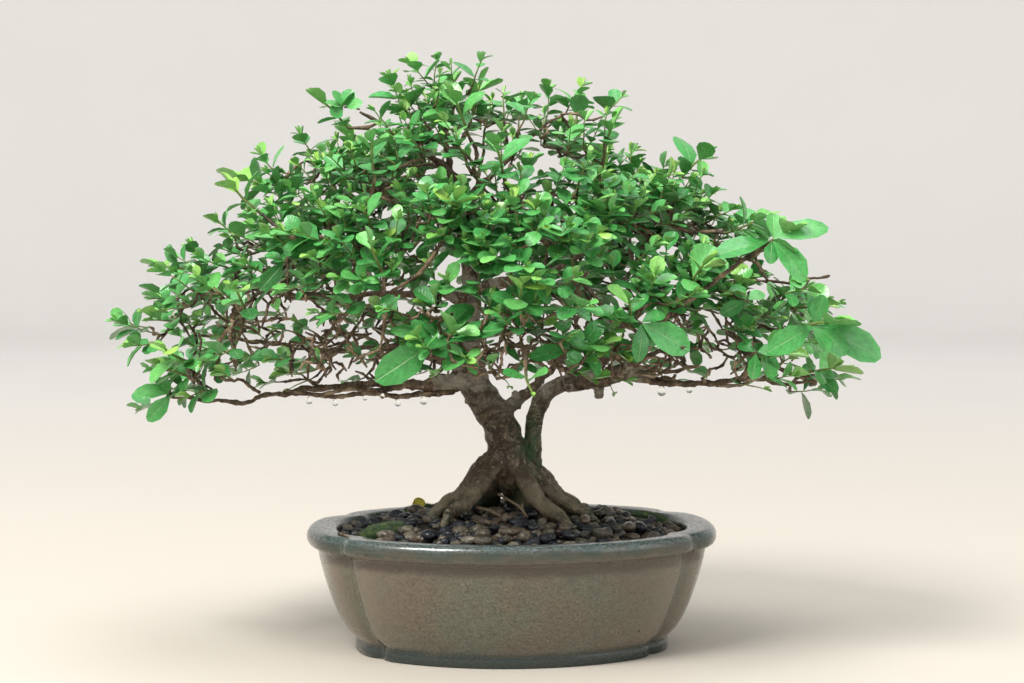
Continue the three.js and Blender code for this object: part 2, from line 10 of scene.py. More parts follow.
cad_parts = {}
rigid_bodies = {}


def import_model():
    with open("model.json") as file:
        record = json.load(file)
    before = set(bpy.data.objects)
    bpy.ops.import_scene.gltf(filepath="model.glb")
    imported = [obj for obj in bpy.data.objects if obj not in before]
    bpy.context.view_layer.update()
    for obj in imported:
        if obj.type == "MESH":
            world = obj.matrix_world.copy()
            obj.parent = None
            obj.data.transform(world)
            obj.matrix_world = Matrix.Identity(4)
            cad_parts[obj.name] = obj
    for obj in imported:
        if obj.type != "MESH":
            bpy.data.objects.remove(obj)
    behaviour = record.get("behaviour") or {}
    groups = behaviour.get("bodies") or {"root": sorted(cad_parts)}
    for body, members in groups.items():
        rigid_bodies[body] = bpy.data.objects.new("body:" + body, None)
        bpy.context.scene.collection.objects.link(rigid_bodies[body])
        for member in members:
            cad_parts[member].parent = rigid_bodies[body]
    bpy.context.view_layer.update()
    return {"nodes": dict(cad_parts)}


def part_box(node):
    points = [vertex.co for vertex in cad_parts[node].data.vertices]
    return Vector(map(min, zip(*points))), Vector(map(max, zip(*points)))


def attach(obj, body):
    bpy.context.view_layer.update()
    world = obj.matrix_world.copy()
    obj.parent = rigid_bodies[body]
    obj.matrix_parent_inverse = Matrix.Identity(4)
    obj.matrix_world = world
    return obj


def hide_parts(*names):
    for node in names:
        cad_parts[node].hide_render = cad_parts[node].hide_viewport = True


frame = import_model()

# Lengths below are millimetres from the middle of the pot's underside, with the front at -Y.
potLow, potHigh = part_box("pot")
potMiddle = np.array([(potLow.x + potHigh.x) / 2, (potLow.y + potHigh.y) / 2, potLow.z])
millimetre = 0.001
goldenAngle = math.pi * (3 - math.sqrt(5))
# vector noise takes its seed from the clock unless it gets one, and then the wood differs on every run
noiseSeed = 1795636396
noise.seed_set(noiseSeed)


def inFrame(points):
    return np.asarray(points, dtype=float) * millimetre + potMiddle


def unit(vector):
    return vector / max(np.linalg.norm(vector), 1e-9)


def seededDraws(seed):
    # numbers from 0 to 1, the same on every run
    whole = 0xFFFFFFFF
    state = seed & whole

    def draw():
        nonlocal state
        state = (state + 0x6D2B79F5) & whole
        mixed = ((state ^ (state >> 15)) * (state | 1)) & whole
        mixed = ((mixed + (((mixed ^ (mixed >> 7)) * (mixed | 61)) & whole)) & whole) ^ mixed
        return (mixed ^ (mixed >> 14)) / (whole + 1)

    return draw


def newObject(name, data):
    made = bpy.data.objects.new(name, data)
    bpy.context.scene.collection.objects.link(made)
    return made


def meshFrom(name, points, faces):
    mesh = bpy.data.meshes.new(name)
    mesh.from_pydata([tuple(point) for point in points], [], [tuple(face) for face in faces])
    mesh.shade_smooth()
    return mesh


def setValues(mesh, name, kind, values):
    # gives every point of a mesh a number or a vector of its own
    carried = mesh.attributes.new(name, kind, "POINT")
    field = "vector" if kind == "FLOAT_VECTOR" else "value"
    numbers = np.array(values, dtype=np.int32 if kind == "INT" else np.float32)
    carried.data.foreach_set(field, numbers.ravel())


def fade(values, start, end):
    # 0 up to the start and 1 from the end on
    return np.clip((values - start) / (end - start), 0, 1)


def roundAngles(steps):
    return [2 * math.pi * step / steps for step in range(steps)]


def ringPoints(profile, steps):
    # a circle of points for each radius and height
    return [(radius * math.cos(angle), radius * math.sin(angle), z)
            for radius, z in profile for angle in roundAngles(steps)]


def ringFaces(rings, steps, tip=None):
    # faces from the first point out over rings of points, and on to a tip where there is one
    faces = []
    last = 1 + (rings - 1) * steps
    for step in range(steps):
        after = (step + 1) % steps
        faces.append((0, 1 + step, 1 + after))
        for low in range(1, last, steps):
            faces.append((low + step, low + steps + step, low + steps + after, low + after))
        if tip is not None:
            faces.append((last + step, tip, last + after))
    return faces


def bakedMesh(thing):
    graph = bpy.context.evaluated_depsgraph_get()
    return bpy.data.meshes.new_from_object(thing.evaluated_get(graph), depsgraph=graph)


def applyModifiers(thing):
    mesh = bakedMesh(thing)
    thing.modifiers.clear()
    thing.data = mesh


def runNodes(name, source, tree, values):
    # grows the source through a node tree and returns a plain mesh object
    modifier = source.modifiers.new("growth", "NODES")
    modifier.node_group = tree
    for item in tree.interface.items_tree:
        if item.item_type == "SOCKET" and item.in_out == "INPUT" and item.name in values:
            modifier[item.identifier] = values[item.name]
    mesh = bakedMesh(source)
    source.modifiers.clear()
    bpy.data.objects.remove(source)
    mesh.name = name
    return newObject(name, mesh)


def settle(piece, slotName, *nodes):
    # the whole tree and its pot are one body
    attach(piece, "root")
    if nodes:
        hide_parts(*nodes)
    return piece


# Node helpers, for materials and for geometry
def setInputs(tree, node, values):
    # links the values that are sockets and writes the others in
    for key, value in values.items():
        if isinstance(value, bpy.types.NodeSocket):
            tree.links.new(value, node.inputs[key])
        else:
            node.inputs[key].default_value = value


def addNode(tree, kind, inputs=None, **settings):
    made = tree.nodes.new(kind)
    for key, value in settings.items():
        setattr(made, key, value)
    setInputs(tree, made, inputs or {})
    return made


def noiseOf(tree, vector, scale, detail=3, roughness=0.55):
    values = {"Vector": vector, "Scale": scale, "Detail": detail, "Roughness": roughness}
    return addNode(tree, "ShaderNodeTexNoise", values).outputs[0]


def fitRange(tree, value, low, high, toLow=0.0, toHigh=1.0):
    values = {"Value": value, "From Min": low, "From Max": high, "To Min": toLow, "To Max": toHigh}
    return addNode(tree, "ShaderNodeMapRange", values, interpolation_type="SMOOTHSTEP").outputs[0]


def cloudOf(tree, vector, scale, low, high, detail=3, roughness=0.55):
    # soft patches from 0 to 1
    return fitRange(tree, noiseOf(tree, vector, scale, detail, roughness), low, high)


def calc(tree, operation, first, second=0.0):
    return addNode(tree, "ShaderNodeMath", {0: first, 1: second}, operation=operation).outputs[0]


def times(tree, first, second):
    return calc(tree, "MULTIPLY", first, second)


def blendColours(tree, share, first, second, way="MIX"):
    first = (*first, 1) if isinstance(first, tuple) else first
    second = (*second, 1) if isinstance(second, tuple) else second
    values = {0: share, 6: first, 7: second}
    return addNode(tree, "ShaderNodeMix", values, data_type="RGBA", blend_type=way).outputs[2]


def paint(tree, colour, share, amount, over):
    # lays another colour over, where the share says and no stronger than the amount
    return blendColours(tree, times(tree, share, amount), colour, over)


def shadeBy(tree, colour, level):
    grey = addNode(tree, "ShaderNodeCombineColor", {0: level, 1: level, 2: level}).outputs[0]
    return blendColours(tree, 1.0, colour, grey, "MULTIPLY")


def colourRamp(tree, value, stops):
    ramp = addNode(tree, "ShaderNodeValToRGB", {0: value})
    band = ramp.color_ramp
    for index, (place, colour) in enumerate(stops):
        stop = band.elements[index] if index < 2 else band.elements.new(place)
        stop.position = place
        stop.color = (*colour, 1)
    return ramp.outputs[0]


def bumpOf(tree, height, depth, strength=1.0, under=None):
    values = {"Height": height, "Distance": depth, "Strength": strength}
    if under is not None:
        values["Normal"] = under
    return addNode(tree, "ShaderNodeBump", values).outputs[0]


def newMaterial(name):
    made = bpy.data.materials.new(name)
    made.use_nodes = True
    tree = made.node_tree
    return made, tree, tree.nodes["Principled BSDF"]


def placeOf(tree):
    return addNode(tree, "ShaderNodeTexCoord").outputs["Object"]


def attributeOf(tree, name, output="Fac"):
    return addNode(tree, "ShaderNodeAttribute", attribute_name=name).outputs[output]


def partOf(tree, vector, axis):
    return addNode(tree, "ShaderNodeSeparateXYZ", {0: vector}).outputs[axis]


def makeGlaze():
    # speckled grey-green glaze, brown where it ran thin, dark on the foot, greener on the rim, with a
    # painted sheen along the rim's top and pale brown with a painted highlight beside each corner groove
    look = {
        "green": (0.105, 0.115, 0.076), "brown": (0.13, 0.10, 0.068), "speckle": (0.025, 0.022, 0.015),
        "rim": (0.035, 0.05, 0.036), "rimBrown": (0.06, 0.055, 0.034), "rimPaintedSheen": (0.14, 0.19, 0.205),
        "thin": (0.05, 0.034, 0.02), "foot": (0.02, 0.032, 0.028), "ridgeGlazeAndHighlight": (0.20, 0.155, 0.115),
        "fleck": (0.34, 0.34, 0.29), "pinhole": (0.012, 0.01, 0.008),
        # heights in metres at which a band of glaze, and the band of painted sheen, starts and is full
        "thinFrom": (0.0545, 0.0585), "thinTo": (0.0665, 0.0625), "paintedSheenFrom": (0.0685, 0.0735),
        "rimFrom": (0.0645, 0.0675), "footFrom": (0.0125, 0.0075),
    }
    material, tree, shader = newMaterial("speckledGlaze")
    place = placeOf(tree)
    body = blendColours(tree, cloudOf(tree, place, 26, 0.36, 0.64, 4), look["green"], look["brown"])
    grain = cloudOf(tree, place, 620, 0.40, 0.66, 3, 0.7)
    body = paint(tree, body, grain, 0.5, look["speckle"])
    body = paint(tree, body, cloudOf(tree, place, 1500, 0.58, 0.66, 2, 0.5), 0.8, look["speckle"])
    body = paint(tree, body, cloudOf(tree, place, 1300, 0.52, 0.70, 2, 0.6), 0.28, look["fleck"])
    # beside each corner groove: pale brown, partly the glaze's colour on the ridges and partly a painted
    # highlight along them
    body = paint(tree, body, attributeOf(tree, "ridgeGlazeAndHighlight"), 0.75, look["ridgeGlazeAndHighlight"])
    height = partOf(tree, place, "Z")
    wavy = calc(tree, "ADD", height, times(tree, noiseOf(tree, place, 60, 2), 0.004))
    thin = times(tree, fitRange(tree, wavy, *look["thinFrom"]), fitRange(tree, wavy, *look["thinTo"]))
    body = paint(tree, body, thin, 0.8, look["thin"])
    # painted sheen: a pale blue-grey band in patches along the top of the rim, standing in for the light
    # caught there
    paintedSheenPatches = cloudOf(tree, place, 800, 0.40, 0.60, 3, 0.7)
    paintedSheen = times(tree, paintedSheenPatches, fitRange(tree, wavy, *look["paintedSheenFrom"]))
    lip = blendColours(tree, cloudOf(tree, place, 40, 0.4, 0.6, 2), look["rim"], look["rimBrown"])
    lip = blendColours(tree, paintedSheen, lip, look["rimPaintedSheen"])
    lip = paint(tree, lip, grain, 0.5, look["foot"])
    body = blendColours(tree, fitRange(tree, wavy, *look["rimFrom"]), body, lip)
    body = blendColours(tree, fitRange(tree, wavy, *look["footFrom"]), body, look["foot"])
    spots = addNode(tree, "ShaderNodeTexVoronoi", {"Vector": place, "Scale": 75.0, "Randomness": 1.0})
    pinhole = times(tree, fitRange(tree, spots.outputs["Distance"], 0.085, 0.05),
                    cloudOf(tree, place, 18, 0.55, 0.6, 1))
    body = blendColours(tree, pinhole, body, look["pinhole"])
    relief = calc(tree, "SUBTRACT", times(tree, noiseOf(tree, place, 210), 0.7), times(tree, pinhole, 1.2))
    setInputs(tree, shader, {
        "Base Color": body, "Roughness": fitRange(tree, grain, 0, 1, 0.16, 0.4),
        "Normal": bumpOf(tree, relief, 0.0005, 0.5), "Coat Weight": 0.35, "Coat Roughness": 0.14,
    })
    return material


def makeBark(name, look):
    # grey-brown bark with dark grooves, pale flecks and algae, along the stretched grain coordinates, and
    # painted shade in the hollow between the roots
    material, tree, shader = newMaterial(name)
    place = placeOf(tree)
    height = partOf(tree, place, "Z")
    grain = attributeOf(tree, "grain", "Vector")
    ridges = noiseOf(tree, grain, look["ridgeScale"], 5, 0.62)
    colour = colourRamp(tree, ridges, [(0.3, look["dark"]), (0.68, look["light"]), (0.48, look["middle"])])
    colour = paint(tree, colour, cloudOf(tree, place, 55, 0.42, 0.66), 0.55, look["warm"])
    fleck = cloudOf(tree, place, 420, 0.56, 0.68, 3, 0.7)
    colour = paint(tree, colour, fleck, look["flecks"], look["pale"])
    pits = cloudOf(tree, grain, look["ridgeScale"] * 2.3, 0.42, 0.32, 3, 0.6)
    colour = paint(tree, colour, pits, 0.75, look["dark"])
    worn = cloudOf(tree, place, 75, 0.38, 0.58)
    nearRoots = times(tree, fitRange(tree, height, 0.106, 0.088), worn)
    colour = paint(tree, colour, nearRoots, 0.75, look["root"])
    nearTop = times(tree, fitRange(tree, height, 0.134, 0.150), worn)
    colour = paint(tree, colour, nearTop, look["top"], look["pale"])
    # painted shade: near-black where the shade attribute marks the hollow between the roots
    colour = blendColours(tree, attributeOf(tree, "shade"), colour, barkAlgaeAndPaintedShade["hollow"])
    algae = times(tree, attributeOf(tree, "algae"), cloudOf(tree, place, 160, 0.36, 0.56, 4))
    colour = blendColours(tree, algae, colour, barkAlgaeAndPaintedShade["algae"])
    coarse = bumpOf(tree, ridges, 0.0011, 0.8)
    fine = noiseOf(tree, grain, look["ridgeScale"] * 3.5, 3, 0.65)
    setInputs(tree, shader, {
        "Base Color": colour,
        "Roughness": fitRange(tree, noiseOf(tree, place, 130), 0.35, 0.65, 0.34, 0.72),
        "Normal": bumpOf(tree, fine, 0.00045, 0.8, coarse), "Specular IOR Level": 0.35,
    })
    return material


def makeTwigBark():
    material, tree, shader = newMaterial("twigBark")
    place = placeOf(tree)
    stops = [(0.34, (0.03, 0.017, 0.009)), (0.68, (0.32, 0.235, 0.15)), (0.5, (0.11, 0.07, 0.038))]
    colour = colourRamp(tree, noiseOf(tree, place, 150), stops)
    colour = paint(tree, colour, cloudOf(tree, place, 700, 0.58, 0.7, 2, 0.7), 0.5, (0.42, 0.36, 0.3))
    colour = paint(tree, colour, attributeOf(tree, "greenness"), 0.85, (0.16, 0.27, 0.05))
    setInputs(tree, shader, {
        "Base Color": colour, "Roughness": 0.55, "Specular IOR Level": 0.35,
        "Normal": bumpOf(tree, noiseOf(tree, place, 900), 0.0003, 0.7),
    })
    return material


def makeLeafGreen():
    # wet glossy leaves: tint runs from old and deep to young and yellow-green
    look = {
        "old": (0.028, 0.17, 0.035), "grown": (0.075, 0.39, 0.09), "fresh": (0.19, 0.58, 0.14),
        "young": (0.40, 0.68, 0.12), "rib": (0.34, 0.58, 0.24), "under": (0.15, 0.34, 0.14),
        "glow": (0.30, 0.62, 0.06),
    }
    material, tree, shader = newMaterial("jasmineLeaf")
    place = placeOf(tree)
    stops = [(0.0, look["old"]), (1.0, look["young"]), (0.35, look["grown"]), (0.7, look["fresh"])]
    colour = colourRamp(tree, attributeOf(tree, "tint"), stops)
    colour = shadeBy(tree, colour, fitRange(tree, noiseOf(tree, place, 320), 0.35, 0.65, 0.86, 1.1))
    # the plan has the upper face in its lower half, with the rib at a quarter and at three quarters
    plan = addNode(tree, "ShaderNodeUVMap", uv_map="leafPlan").outputs[0]
    along = partOf(tree, plan, "X")
    sheet = partOf(tree, plan, "Y")
    underside = fitRange(tree, sheet, 0.495, 0.505)
    across = calc(tree, "SUBTRACT", sheet, fitRange(tree, sheet, 0.495, 0.505, 0.25, 0.75))
    across = calc(tree, "ABSOLUTE", across)
    rib = fitRange(tree, across, 0.017, 0.004)
    slant = calc(tree, "SUBTRACT", along, times(tree, across, 1.1))
    veins = calc(tree, "ABSOLUTE", calc(tree, "SINE", times(tree, slant, 24.0)))
    vein = times(tree, fitRange(tree, veins, 0.22, 0.02), 0.35)
    lines = calc(tree, "MAXIMUM", times(tree, rib, 0.75), vein)
    colour = paint(tree, colour, lines, 0.6, look["rib"])
    colour = paint(tree, colour, underside, 0.6, look["under"])
    puffed = calc(tree, "SUBTRACT", times(tree, veins, 0.3), times(tree, rib, 0.8))
    setInputs(tree, shader, {
        "Base Color": colour,
        "Roughness": fitRange(tree, noiseOf(tree, place, 240, 2), 0.4, 0.6, 0.2, 0.42),
        "Specular IOR Level": 0.5, "Coat Weight": 0.3, "Coat Roughness": 0.14,
        "Normal": bumpOf(tree, puffed, 0.0004, 0.6),
    })
    through = blendColours(tree, 0.5, colour, look["glow"])
    glow = addNode(tree, "ShaderNodeBsdfTranslucent", {"Color": through})
    both = addNode(tree, "ShaderNodeMixShader", {0: 0.16, 1: shader.outputs[0], 2: glow.outputs[0]})
    tree.links.new(both.outputs[0], tree.nodes["Material Output"].inputs["Surface"])
    return material


def makeGravelStone():
    material, tree, shader = newMaterial("wetStone")
    place = placeOf(tree)
    stops = [(0.0, (0.006, 0.008, 0.014)), (1.0, (0.17, 0.15, 0.11)), (0.32, (0.014, 0.016, 0.024)),
             (0.4, (0.055, 0.047, 0.034)), (0.66, (0.105, 0.09, 0.066)), (0.84, (0.085, 0.056, 0.038))]
    colour = colourRamp(tree, attributeOf(tree, "tone"), stops)
    grit = fitRange(tree, noiseOf(tree, place, 520, 4, 0.7), 0.35, 0.65, 0.35, 1.6)
    setInputs(tree, shader, {
        "Base Color": shadeBy(tree, colour, grit),
        "Roughness": fitRange(tree, noiseOf(tree, place, 90, 2), 0.4, 0.6, 0.2, 0.6),
        "Normal": bumpOf(tree, noiseOf(tree, place, 420, 4, 0.65), 0.0006, 0.7),
    })
    return material


def makeSoil():
    material, tree, shader = newMaterial("darkSoil")
    crumbs = noiseOf(tree, placeOf(tree), 330, 5, 0.7)
    stops = [(0.35, (0.008, 0.007, 0.006)), (0.68, (0.07, 0.052, 0.038)), (0.5, (0.024, 0.018, 0.014))]
    setInputs(tree, shader, {
        "Base Color": colourRamp(tree, crumbs, stops), "Roughness": 0.85,
        "Normal": bumpOf(tree, crumbs, 0.0015, 0.9),
    })
    return material


def makeMossGreen():
    material, tree, shader = newMaterial("cushionMoss")
    place = placeOf(tree)
    stops = [(0.34, (0.012, 0.035, 0.008)), (0.7, (0.16, 0.24, 0.035)), (0.52, (0.04, 0.10, 0.016))]
    setInputs(tree, shader, {
        "Base Color": colourRamp(tree, noiseOf(tree, place, 260), stops), "Roughness": 0.9,
        "Sheen Weight": 0.25, "Normal": bumpOf(tree, noiseOf(tree, place, 900, 2), 0.0006, 0.8),
    })
    return material


def makeWater():
    material, tree, shader = newMaterial("clearWater")
    setInputs(tree, shader, {
        "Base Color": (0.98, 1.0, 1.0, 1), "Roughness": 0.02, "IOR": 1.33, "Transmission Weight": 1.0,
    })
    return material


def makePlasticNet():
    material, tree, shader = newMaterial("blackPlasticNet")
    weave = addNode(tree, "ShaderNodeTexChecker", {"Vector": placeOf(tree), "Scale": 700.0}).outputs["Fac"]
    setInputs(tree, shader, {
        "Base Color": blendColours(tree, weave, (0.012, 0.013, 0.014), (0.05, 0.052, 0.055)),
        "Roughness": 0.5, "Normal": bumpOf(tree, weave, 0.0004, 0.8),
    })
    return material


# the hollow's near-black is painted shade; the algae green is the bark's own colour
barkAlgaeAndPaintedShade = {"hollow": (0.007, 0.005, 0.003), "algae": (0.035, 0.075, 0.028)}
barkLooks = {
    "trunk": {
        "dark": (0.006, 0.004, 0.002), "middle": (0.045, 0.032, 0.018), "light": (0.22, 0.175, 0.12),
        "warm": (0.085, 0.05, 0.027), "pale": (0.48, 0.44, 0.36), "root": (0.27, 0.215, 0.15),
        "ridgeScale": 210, "flecks": 0.5, "top": 0.4,
    },
    "limb": {
        "dark": (0.016, 0.009, 0.005), "middle": (0.075, 0.048, 0.027), "light": (0.25, 0.18, 0.11),
        "warm": (0.15, 0.095, 0.055), "pale": (0.52, 0.46, 0.37), "root": (0.2, 0.15, 0.1),
        "ridgeScale": 300, "flecks": 0.3, "top": 0.0,
    },
}
glaze = makeGlaze()
trunkBark = makeBark("trunkBark", barkLooks["trunk"])
limbBark = makeBark("limbBark", barkLooks["limb"])
twigBark = makeTwigBark()
leafGreen = makeLeafGreen()
wetStone = makeGravelStone()
darkSoil = makeSoil()
mossGreen = makeMossGreen()
clearWater = makeWater()
blackNet = makePlasticNet()
print("materials made")

# Pot: four shallow lobes that meet in a groove at each corner
pot = {
    "frontArc": (160.5, 70.5), "endArc": (96.3, 23.7), "cornerAngle": 25.25, "notch": 0.03,
    "notchWidth": 5.5,
    "crease": 0.022, "creaseWidth": 2.0, "steps": 360, "height": 72, "drainRadius": 7, "drainX": 45,
    "unevenness": 0.0025, "rimDip": 0.5, "rimDipWidth": 6, "ridgeOuter": 13, "ridgeInner": 4,
    # share of the outline's radius, height; from the middle of the underside to the floor inside
    "profile": [
        (0.0, 3.5), (0.655, 3.5), (0.668, 3.2), (0.675, 0.6), (0.68, 0.0), (0.757, 0.0), (0.765, 0.5),
        (0.765, 4.6),
        (0.762, 5.8), (0.759, 6.8), (0.764, 7.8), (0.776, 9.2), (0.795, 11.4), (0.814, 14.0), (0.840, 18.8),
        (0.863, 25.0), (0.883, 31.0), (0.900, 37.0), (0.916, 43.0), (0.930, 49.0), (0.940, 54.0),
        (0.945, 57.4),
        (0.949, 59.2), (0.960, 60.8), (0.977, 61.8), (0.990, 62.8), (0.998, 64.4), (1.0, 66.2),
        (0.998, 68.2),
        (0.990, 70.0), (0.979, 71.2), (0.966, 71.8), (0.950, 72.0), (0.905, 71.9), (0.872, 71.6),
        (0.860, 71.1),
        (0.853, 70.0), (0.849, 68.0), (0.845, 64.0), (0.835, 56.0), (0.815, 40.0), (0.775, 22.0),
        (0.735, 11.5),
        (0.70, 9.2), (0.5, 9.0), (0.0, 9.0),
    ],
}


def potRadius(angle):
    c = abs(math.cos(angle))
    s = abs(math.sin(angle))
    frontRadius, frontOffset = pot["frontArc"]
    endRadius, endOffset = pot["endArc"]
    toFront = math.sqrt(frontRadius**2 - (frontOffset * c) ** 2) - frontOffset * s
    toEnd = math.sqrt(endRadius**2 - (endOffset * s) ** 2) + endOffset * c
    offCorner = math.degrees(math.atan2(s, c)) - pot["cornerAngle"]
    groove = pot["notch"] * math.exp(-((offCorner / pot["notchWidth"]) ** 2))
    groove += pot["crease"] * math.exp(-((offCorner / pot["creaseWidth"]) ** 2))
    return min(toFront, toEnd) * (1 - groove)


def cornerShare(angle, width):
    folded = math.degrees(math.atan2(abs(math.sin(angle)), abs(math.cos(angle))))
    return math.exp(-(((folded - pot["cornerAngle"]) / width) ** 2))


def makePot():
    steps = pot["steps"]
    profile = pot["profile"]
    points = [(0, 0, profile[0][1])]
    ridgeGlazeAndHighlight = [0.0]
    for scale, z in profile[1:-1]:
        onRim = z > 69 and scale > 0.9
        onWall = 8 < z < 60 and scale > 0.75
        for angle in roundAngles(steps):
            # the lip and the foot are thrown by hand, so they are a little uneven
            wave = noise.noise(Vector((math.cos(angle) * 1.7, math.sin(angle) * 1.7, z * 0.03)))
            reach = potRadius(angle) * scale * (1 + pot["unevenness"] * wave)
            dip = -pot["rimDip"] * cornerShare(angle, pot["rimDipWidth"]) if onRim else 0
            points.append((reach * math.cos(angle), reach * math.sin(angle), z + dip))
            # the ridges beside each corner groove carry pale brown, partly glaze colour and partly painted
            # highlight
            beside = cornerShare(angle, pot["ridgeOuter"]) - cornerShare(angle, pot["ridgeInner"])
            ridgeGlazeAndHighlight.append(beside if onWall else 0.0)
    points.append((0, 0, profile[-1][1]))
    ridgeGlazeAndHighlight.append(0.0)
    # the profile starts underneath, so its faces turn the other way round
    faces = [(face[0], *reversed(face[1:])) for face in ringFaces(len(profile) - 2, steps, len(points) - 1)]
    body = newObject("potBody", meshFrom("potBody", inFrame(points), faces))
    setValues(body.data, "ridgeGlazeAndHighlight", "FLOAT", np.maximum(ridgeGlazeAndHighlight, 0))
    for side in (-1, 1):
        bpy.ops.mesh.primitive_cylinder_add(vertices=40, radius=pot["drainRadius"] * millimetre, depth=0.03)
        drill = bpy.context.object
        drill.location = inFrame((side * pot["drainX"], 0, 6))
        cut = body.modifiers.new("drain", "BOOLEAN")
        cut.operation = "DIFFERENCE"
        cut.solver = "EXACT"
        cut.object = drill
        applyModifiers(body)
        bpy.data.objects.remove(drill)
    body.data.materials.clear()
    body.data.materials.append(glaze)
    return settle(body, "glaze", "pot")


makePot()
print("pot made")

# Routes of the wood, each point as x, y, z and radius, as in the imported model
trunk = [
    (4, 14, 66, 5), (4, 12, 80, 5.5), (2, 7, 91, 7.5), (0, 2, 100, 11), (-1, 0, 105, 12.2),
    (-2, 0, 108, 12.2), (-4, 0, 121, 10.9),
    (-8, 1, 133, 10.2), (-15, 1, 143, 10), (-22, 2, 153, 8.8), (-26, 4, 163, 7.6),
]
secondTrunk = [
    (8, 4, 78, 8), (9, 3, 95, 7), (12, 3, 105, 6.4), (13, 3, 114, 5.4), (13, 4, 126, 4.9),
    (15, 4, 138, 5), (20, 2, 147, 5.4), (27, 0, 153, 5), (37, -3, 156, 4.8),
]
limbs = {
    "leader": [(-24, 3, 158, 8), (-25, 7, 177, 6.4), (-23, 9, 195, 5.6), (-24, 8, 215, 5),
               (-26, 6, 238, 4.2), (-29, 6, 258, 3.3), (-35, 7, 279, 2.5), (-38, 6, 299, 1.8),
               (-42, 5, 318, 1.2)],
    "lowRight": [(32, -2, 155, 4.9), (50, -8, 157, 4.2), (65, -13, 160, 3.9), (82, -18, 159, 3.3),
                 (101, -24, 156, 2.9), (121, -28, 157, 2.4), (140, -31, 159, 2.1), (152, -32, 155, 1.9),
                 (165, -33, 156, 1.6), (181, -32, 157, 1.2)],
    "lowLeft": [(-24, 2, 156, 5.5), (-48, -6, 155, 4), (-92, -13, 156, 3), (-129, -14, 153, 2.4),
                (-163, -11, 149, 1.9), (-198, -4, 152, 1.1)],
    "backLeft": [(-26, 4, 164, 5), (-40, 17, 168, 4), (-69, 37, 173, 3), (-113, 51, 172, 2.3),
                 (-160, 57, 179, 1.5), (-184, 57, 182, 1.1)],
    "midLeft": [(-23, 10, 200, 4.2), (-39, 1, 208, 3.6), (-70, -11, 206, 3), (-121, -17, 207, 2),
                (-144, -17, 214, 1.5), (-168, -13, 226, 1.1)],
    "frontLeft": [(-24, 2, 163, 4.4), (-38, -33, 171, 3.2), (-57, -72, 177, 2.2), (-79, -106, 182, 1.2)],
    "rearLeft": [(-25, 7, 179, 4.2), (-40, 49, 183, 3.2), (-63, 92, 189, 2.2), (-82, 108, 192, 1.2)],
    "greyRight": [(-2, 2, 140, 3.6), (10, 9, 148, 3), (21, 20, 156, 2.9), (43, 55, 173, 2.2),
                  (64, 80, 180, 1.8), (88, 103, 186, 1.2)],
    "midRight": [(38, -3, 157, 4), (52, 2, 166, 3.2), (82, 6, 184, 2.8), (105, 2, 203, 2.2),
                 (136, -6, 215, 1.8), (162, -13, 214, 1.4), (184, -18, 218, 1.1)],
    "upRight": [(93, 5, 192, 2.4), (77, 10, 217, 1.8), (71, 10, 233, 1.5), (73, 9, 255, 1.1)],
    "frontRight": [(58, -11, 159, 3.4), (63, -49, 169, 2.6), (73, -86, 178, 1.9), (84, -114, 184, 1.2)],
    "front": [(-22, 2, 161, 4), (-20, -39, 170, 3), (-15, -81, 180, 2.1), (-5, -118, 189, 1.3)],
    "rear": [(-24, 8, 179, 4), (-14, 47, 182, 3), (-3, 88, 188, 2.1), (6, 120, 192, 1.2)],
    "highRight": [(-23, 8, 208, 3.8), (7, -11, 217, 2.9), (23, -14, 222, 2.5), (41, -17, 233, 2.1),
                  (61, -19, 247, 1.6), (84, -19, 259, 1.1)],
    "highLeft": [(-26, 6, 241, 3.2), (-56, 14, 258, 2.4), (-76, 18, 267, 2), (-100, 20, 276, 1.5),
                 (-120, 20, 284, 1.1)],
    "highFront": [(-26, 6, 232, 3.2), (-20, -28, 241, 2.4), (-11, -59, 250, 1.8), (-2, -86, 257, 1.1)],
    "highRear": [(-26, 7, 238, 3.2), (-22, 38, 246, 2.4), (-15, 71, 256, 1.8), (-9, 92, 262, 1.1)],
    "topRight": [(-29, 6, 257, 2.6), (-4, -4, 284, 1.9), (10, -5, 299, 1.6), (28, -4, 311, 1.1)],
    "topLeft": [(-33, 7, 274, 2.2), (-47, 8, 287, 1.9), (-65, 11, 299, 1.6), (-88, 12, 314, 1.1)],
}
roots = [
    [(-4, 0, 113, 6), (-14, -1, 105, 7.4), (-22, -2, 96, 6.8), (-31, -4, 88, 5.4), (-40, -5, 84, 4),
     (-53, -8, 71, 2.6)],
    [(-5, -1, 110, 6), (-16, -9, 100, 5.6), (-22, -14, 92, 4.8), (-29, -20, 86, 4), (-38, -26, 81, 3),
     (-46, -33, 69, 2)],
    [(-1, -1, 113, 6), (6, -9, 101, 5.8), (11, -16, 92, 5.3), (18, -24, 84, 4.8), (26, -32, 79, 4.2),
     (36, -45, 66, 2.6)],
    [(4, 1, 109, 6), (15, -1, 98, 5.2), (23, -5, 89, 4.5), (33, -9, 83, 4), (42, -11, 79, 3),
     (52, -15, 68, 2)],
    [(6, 4, 106, 5), (17, 11, 100, 4.6), (24, 14, 93, 3.8), (31, 18, 86, 3.2), (40, 21, 80, 2.5),
     (50, 26, 68, 1.8)],
    [(-3, 2, 112, 6), (-12, 18, 99, 5.6), (-18, 31, 90, 4.4), (-27, 42, 82, 3.2), (-36, 54, 68, 2)],
    [(1, 3, 112, 6), (4, 21, 99, 5.4), (9, 34, 91, 4.2), (16, 46, 83, 3.2), (22, 58, 67, 2)],
    [(-6, 8, 104, 6), (-12, 14, 92, 7), (-14, 18, 78, 8), (-14, 20, 66, 8)],
    [(8, 12, 100, 6), (11, 17, 88, 6.5), (13, 20, 76, 7), (14, 21, 66, 7)],
]
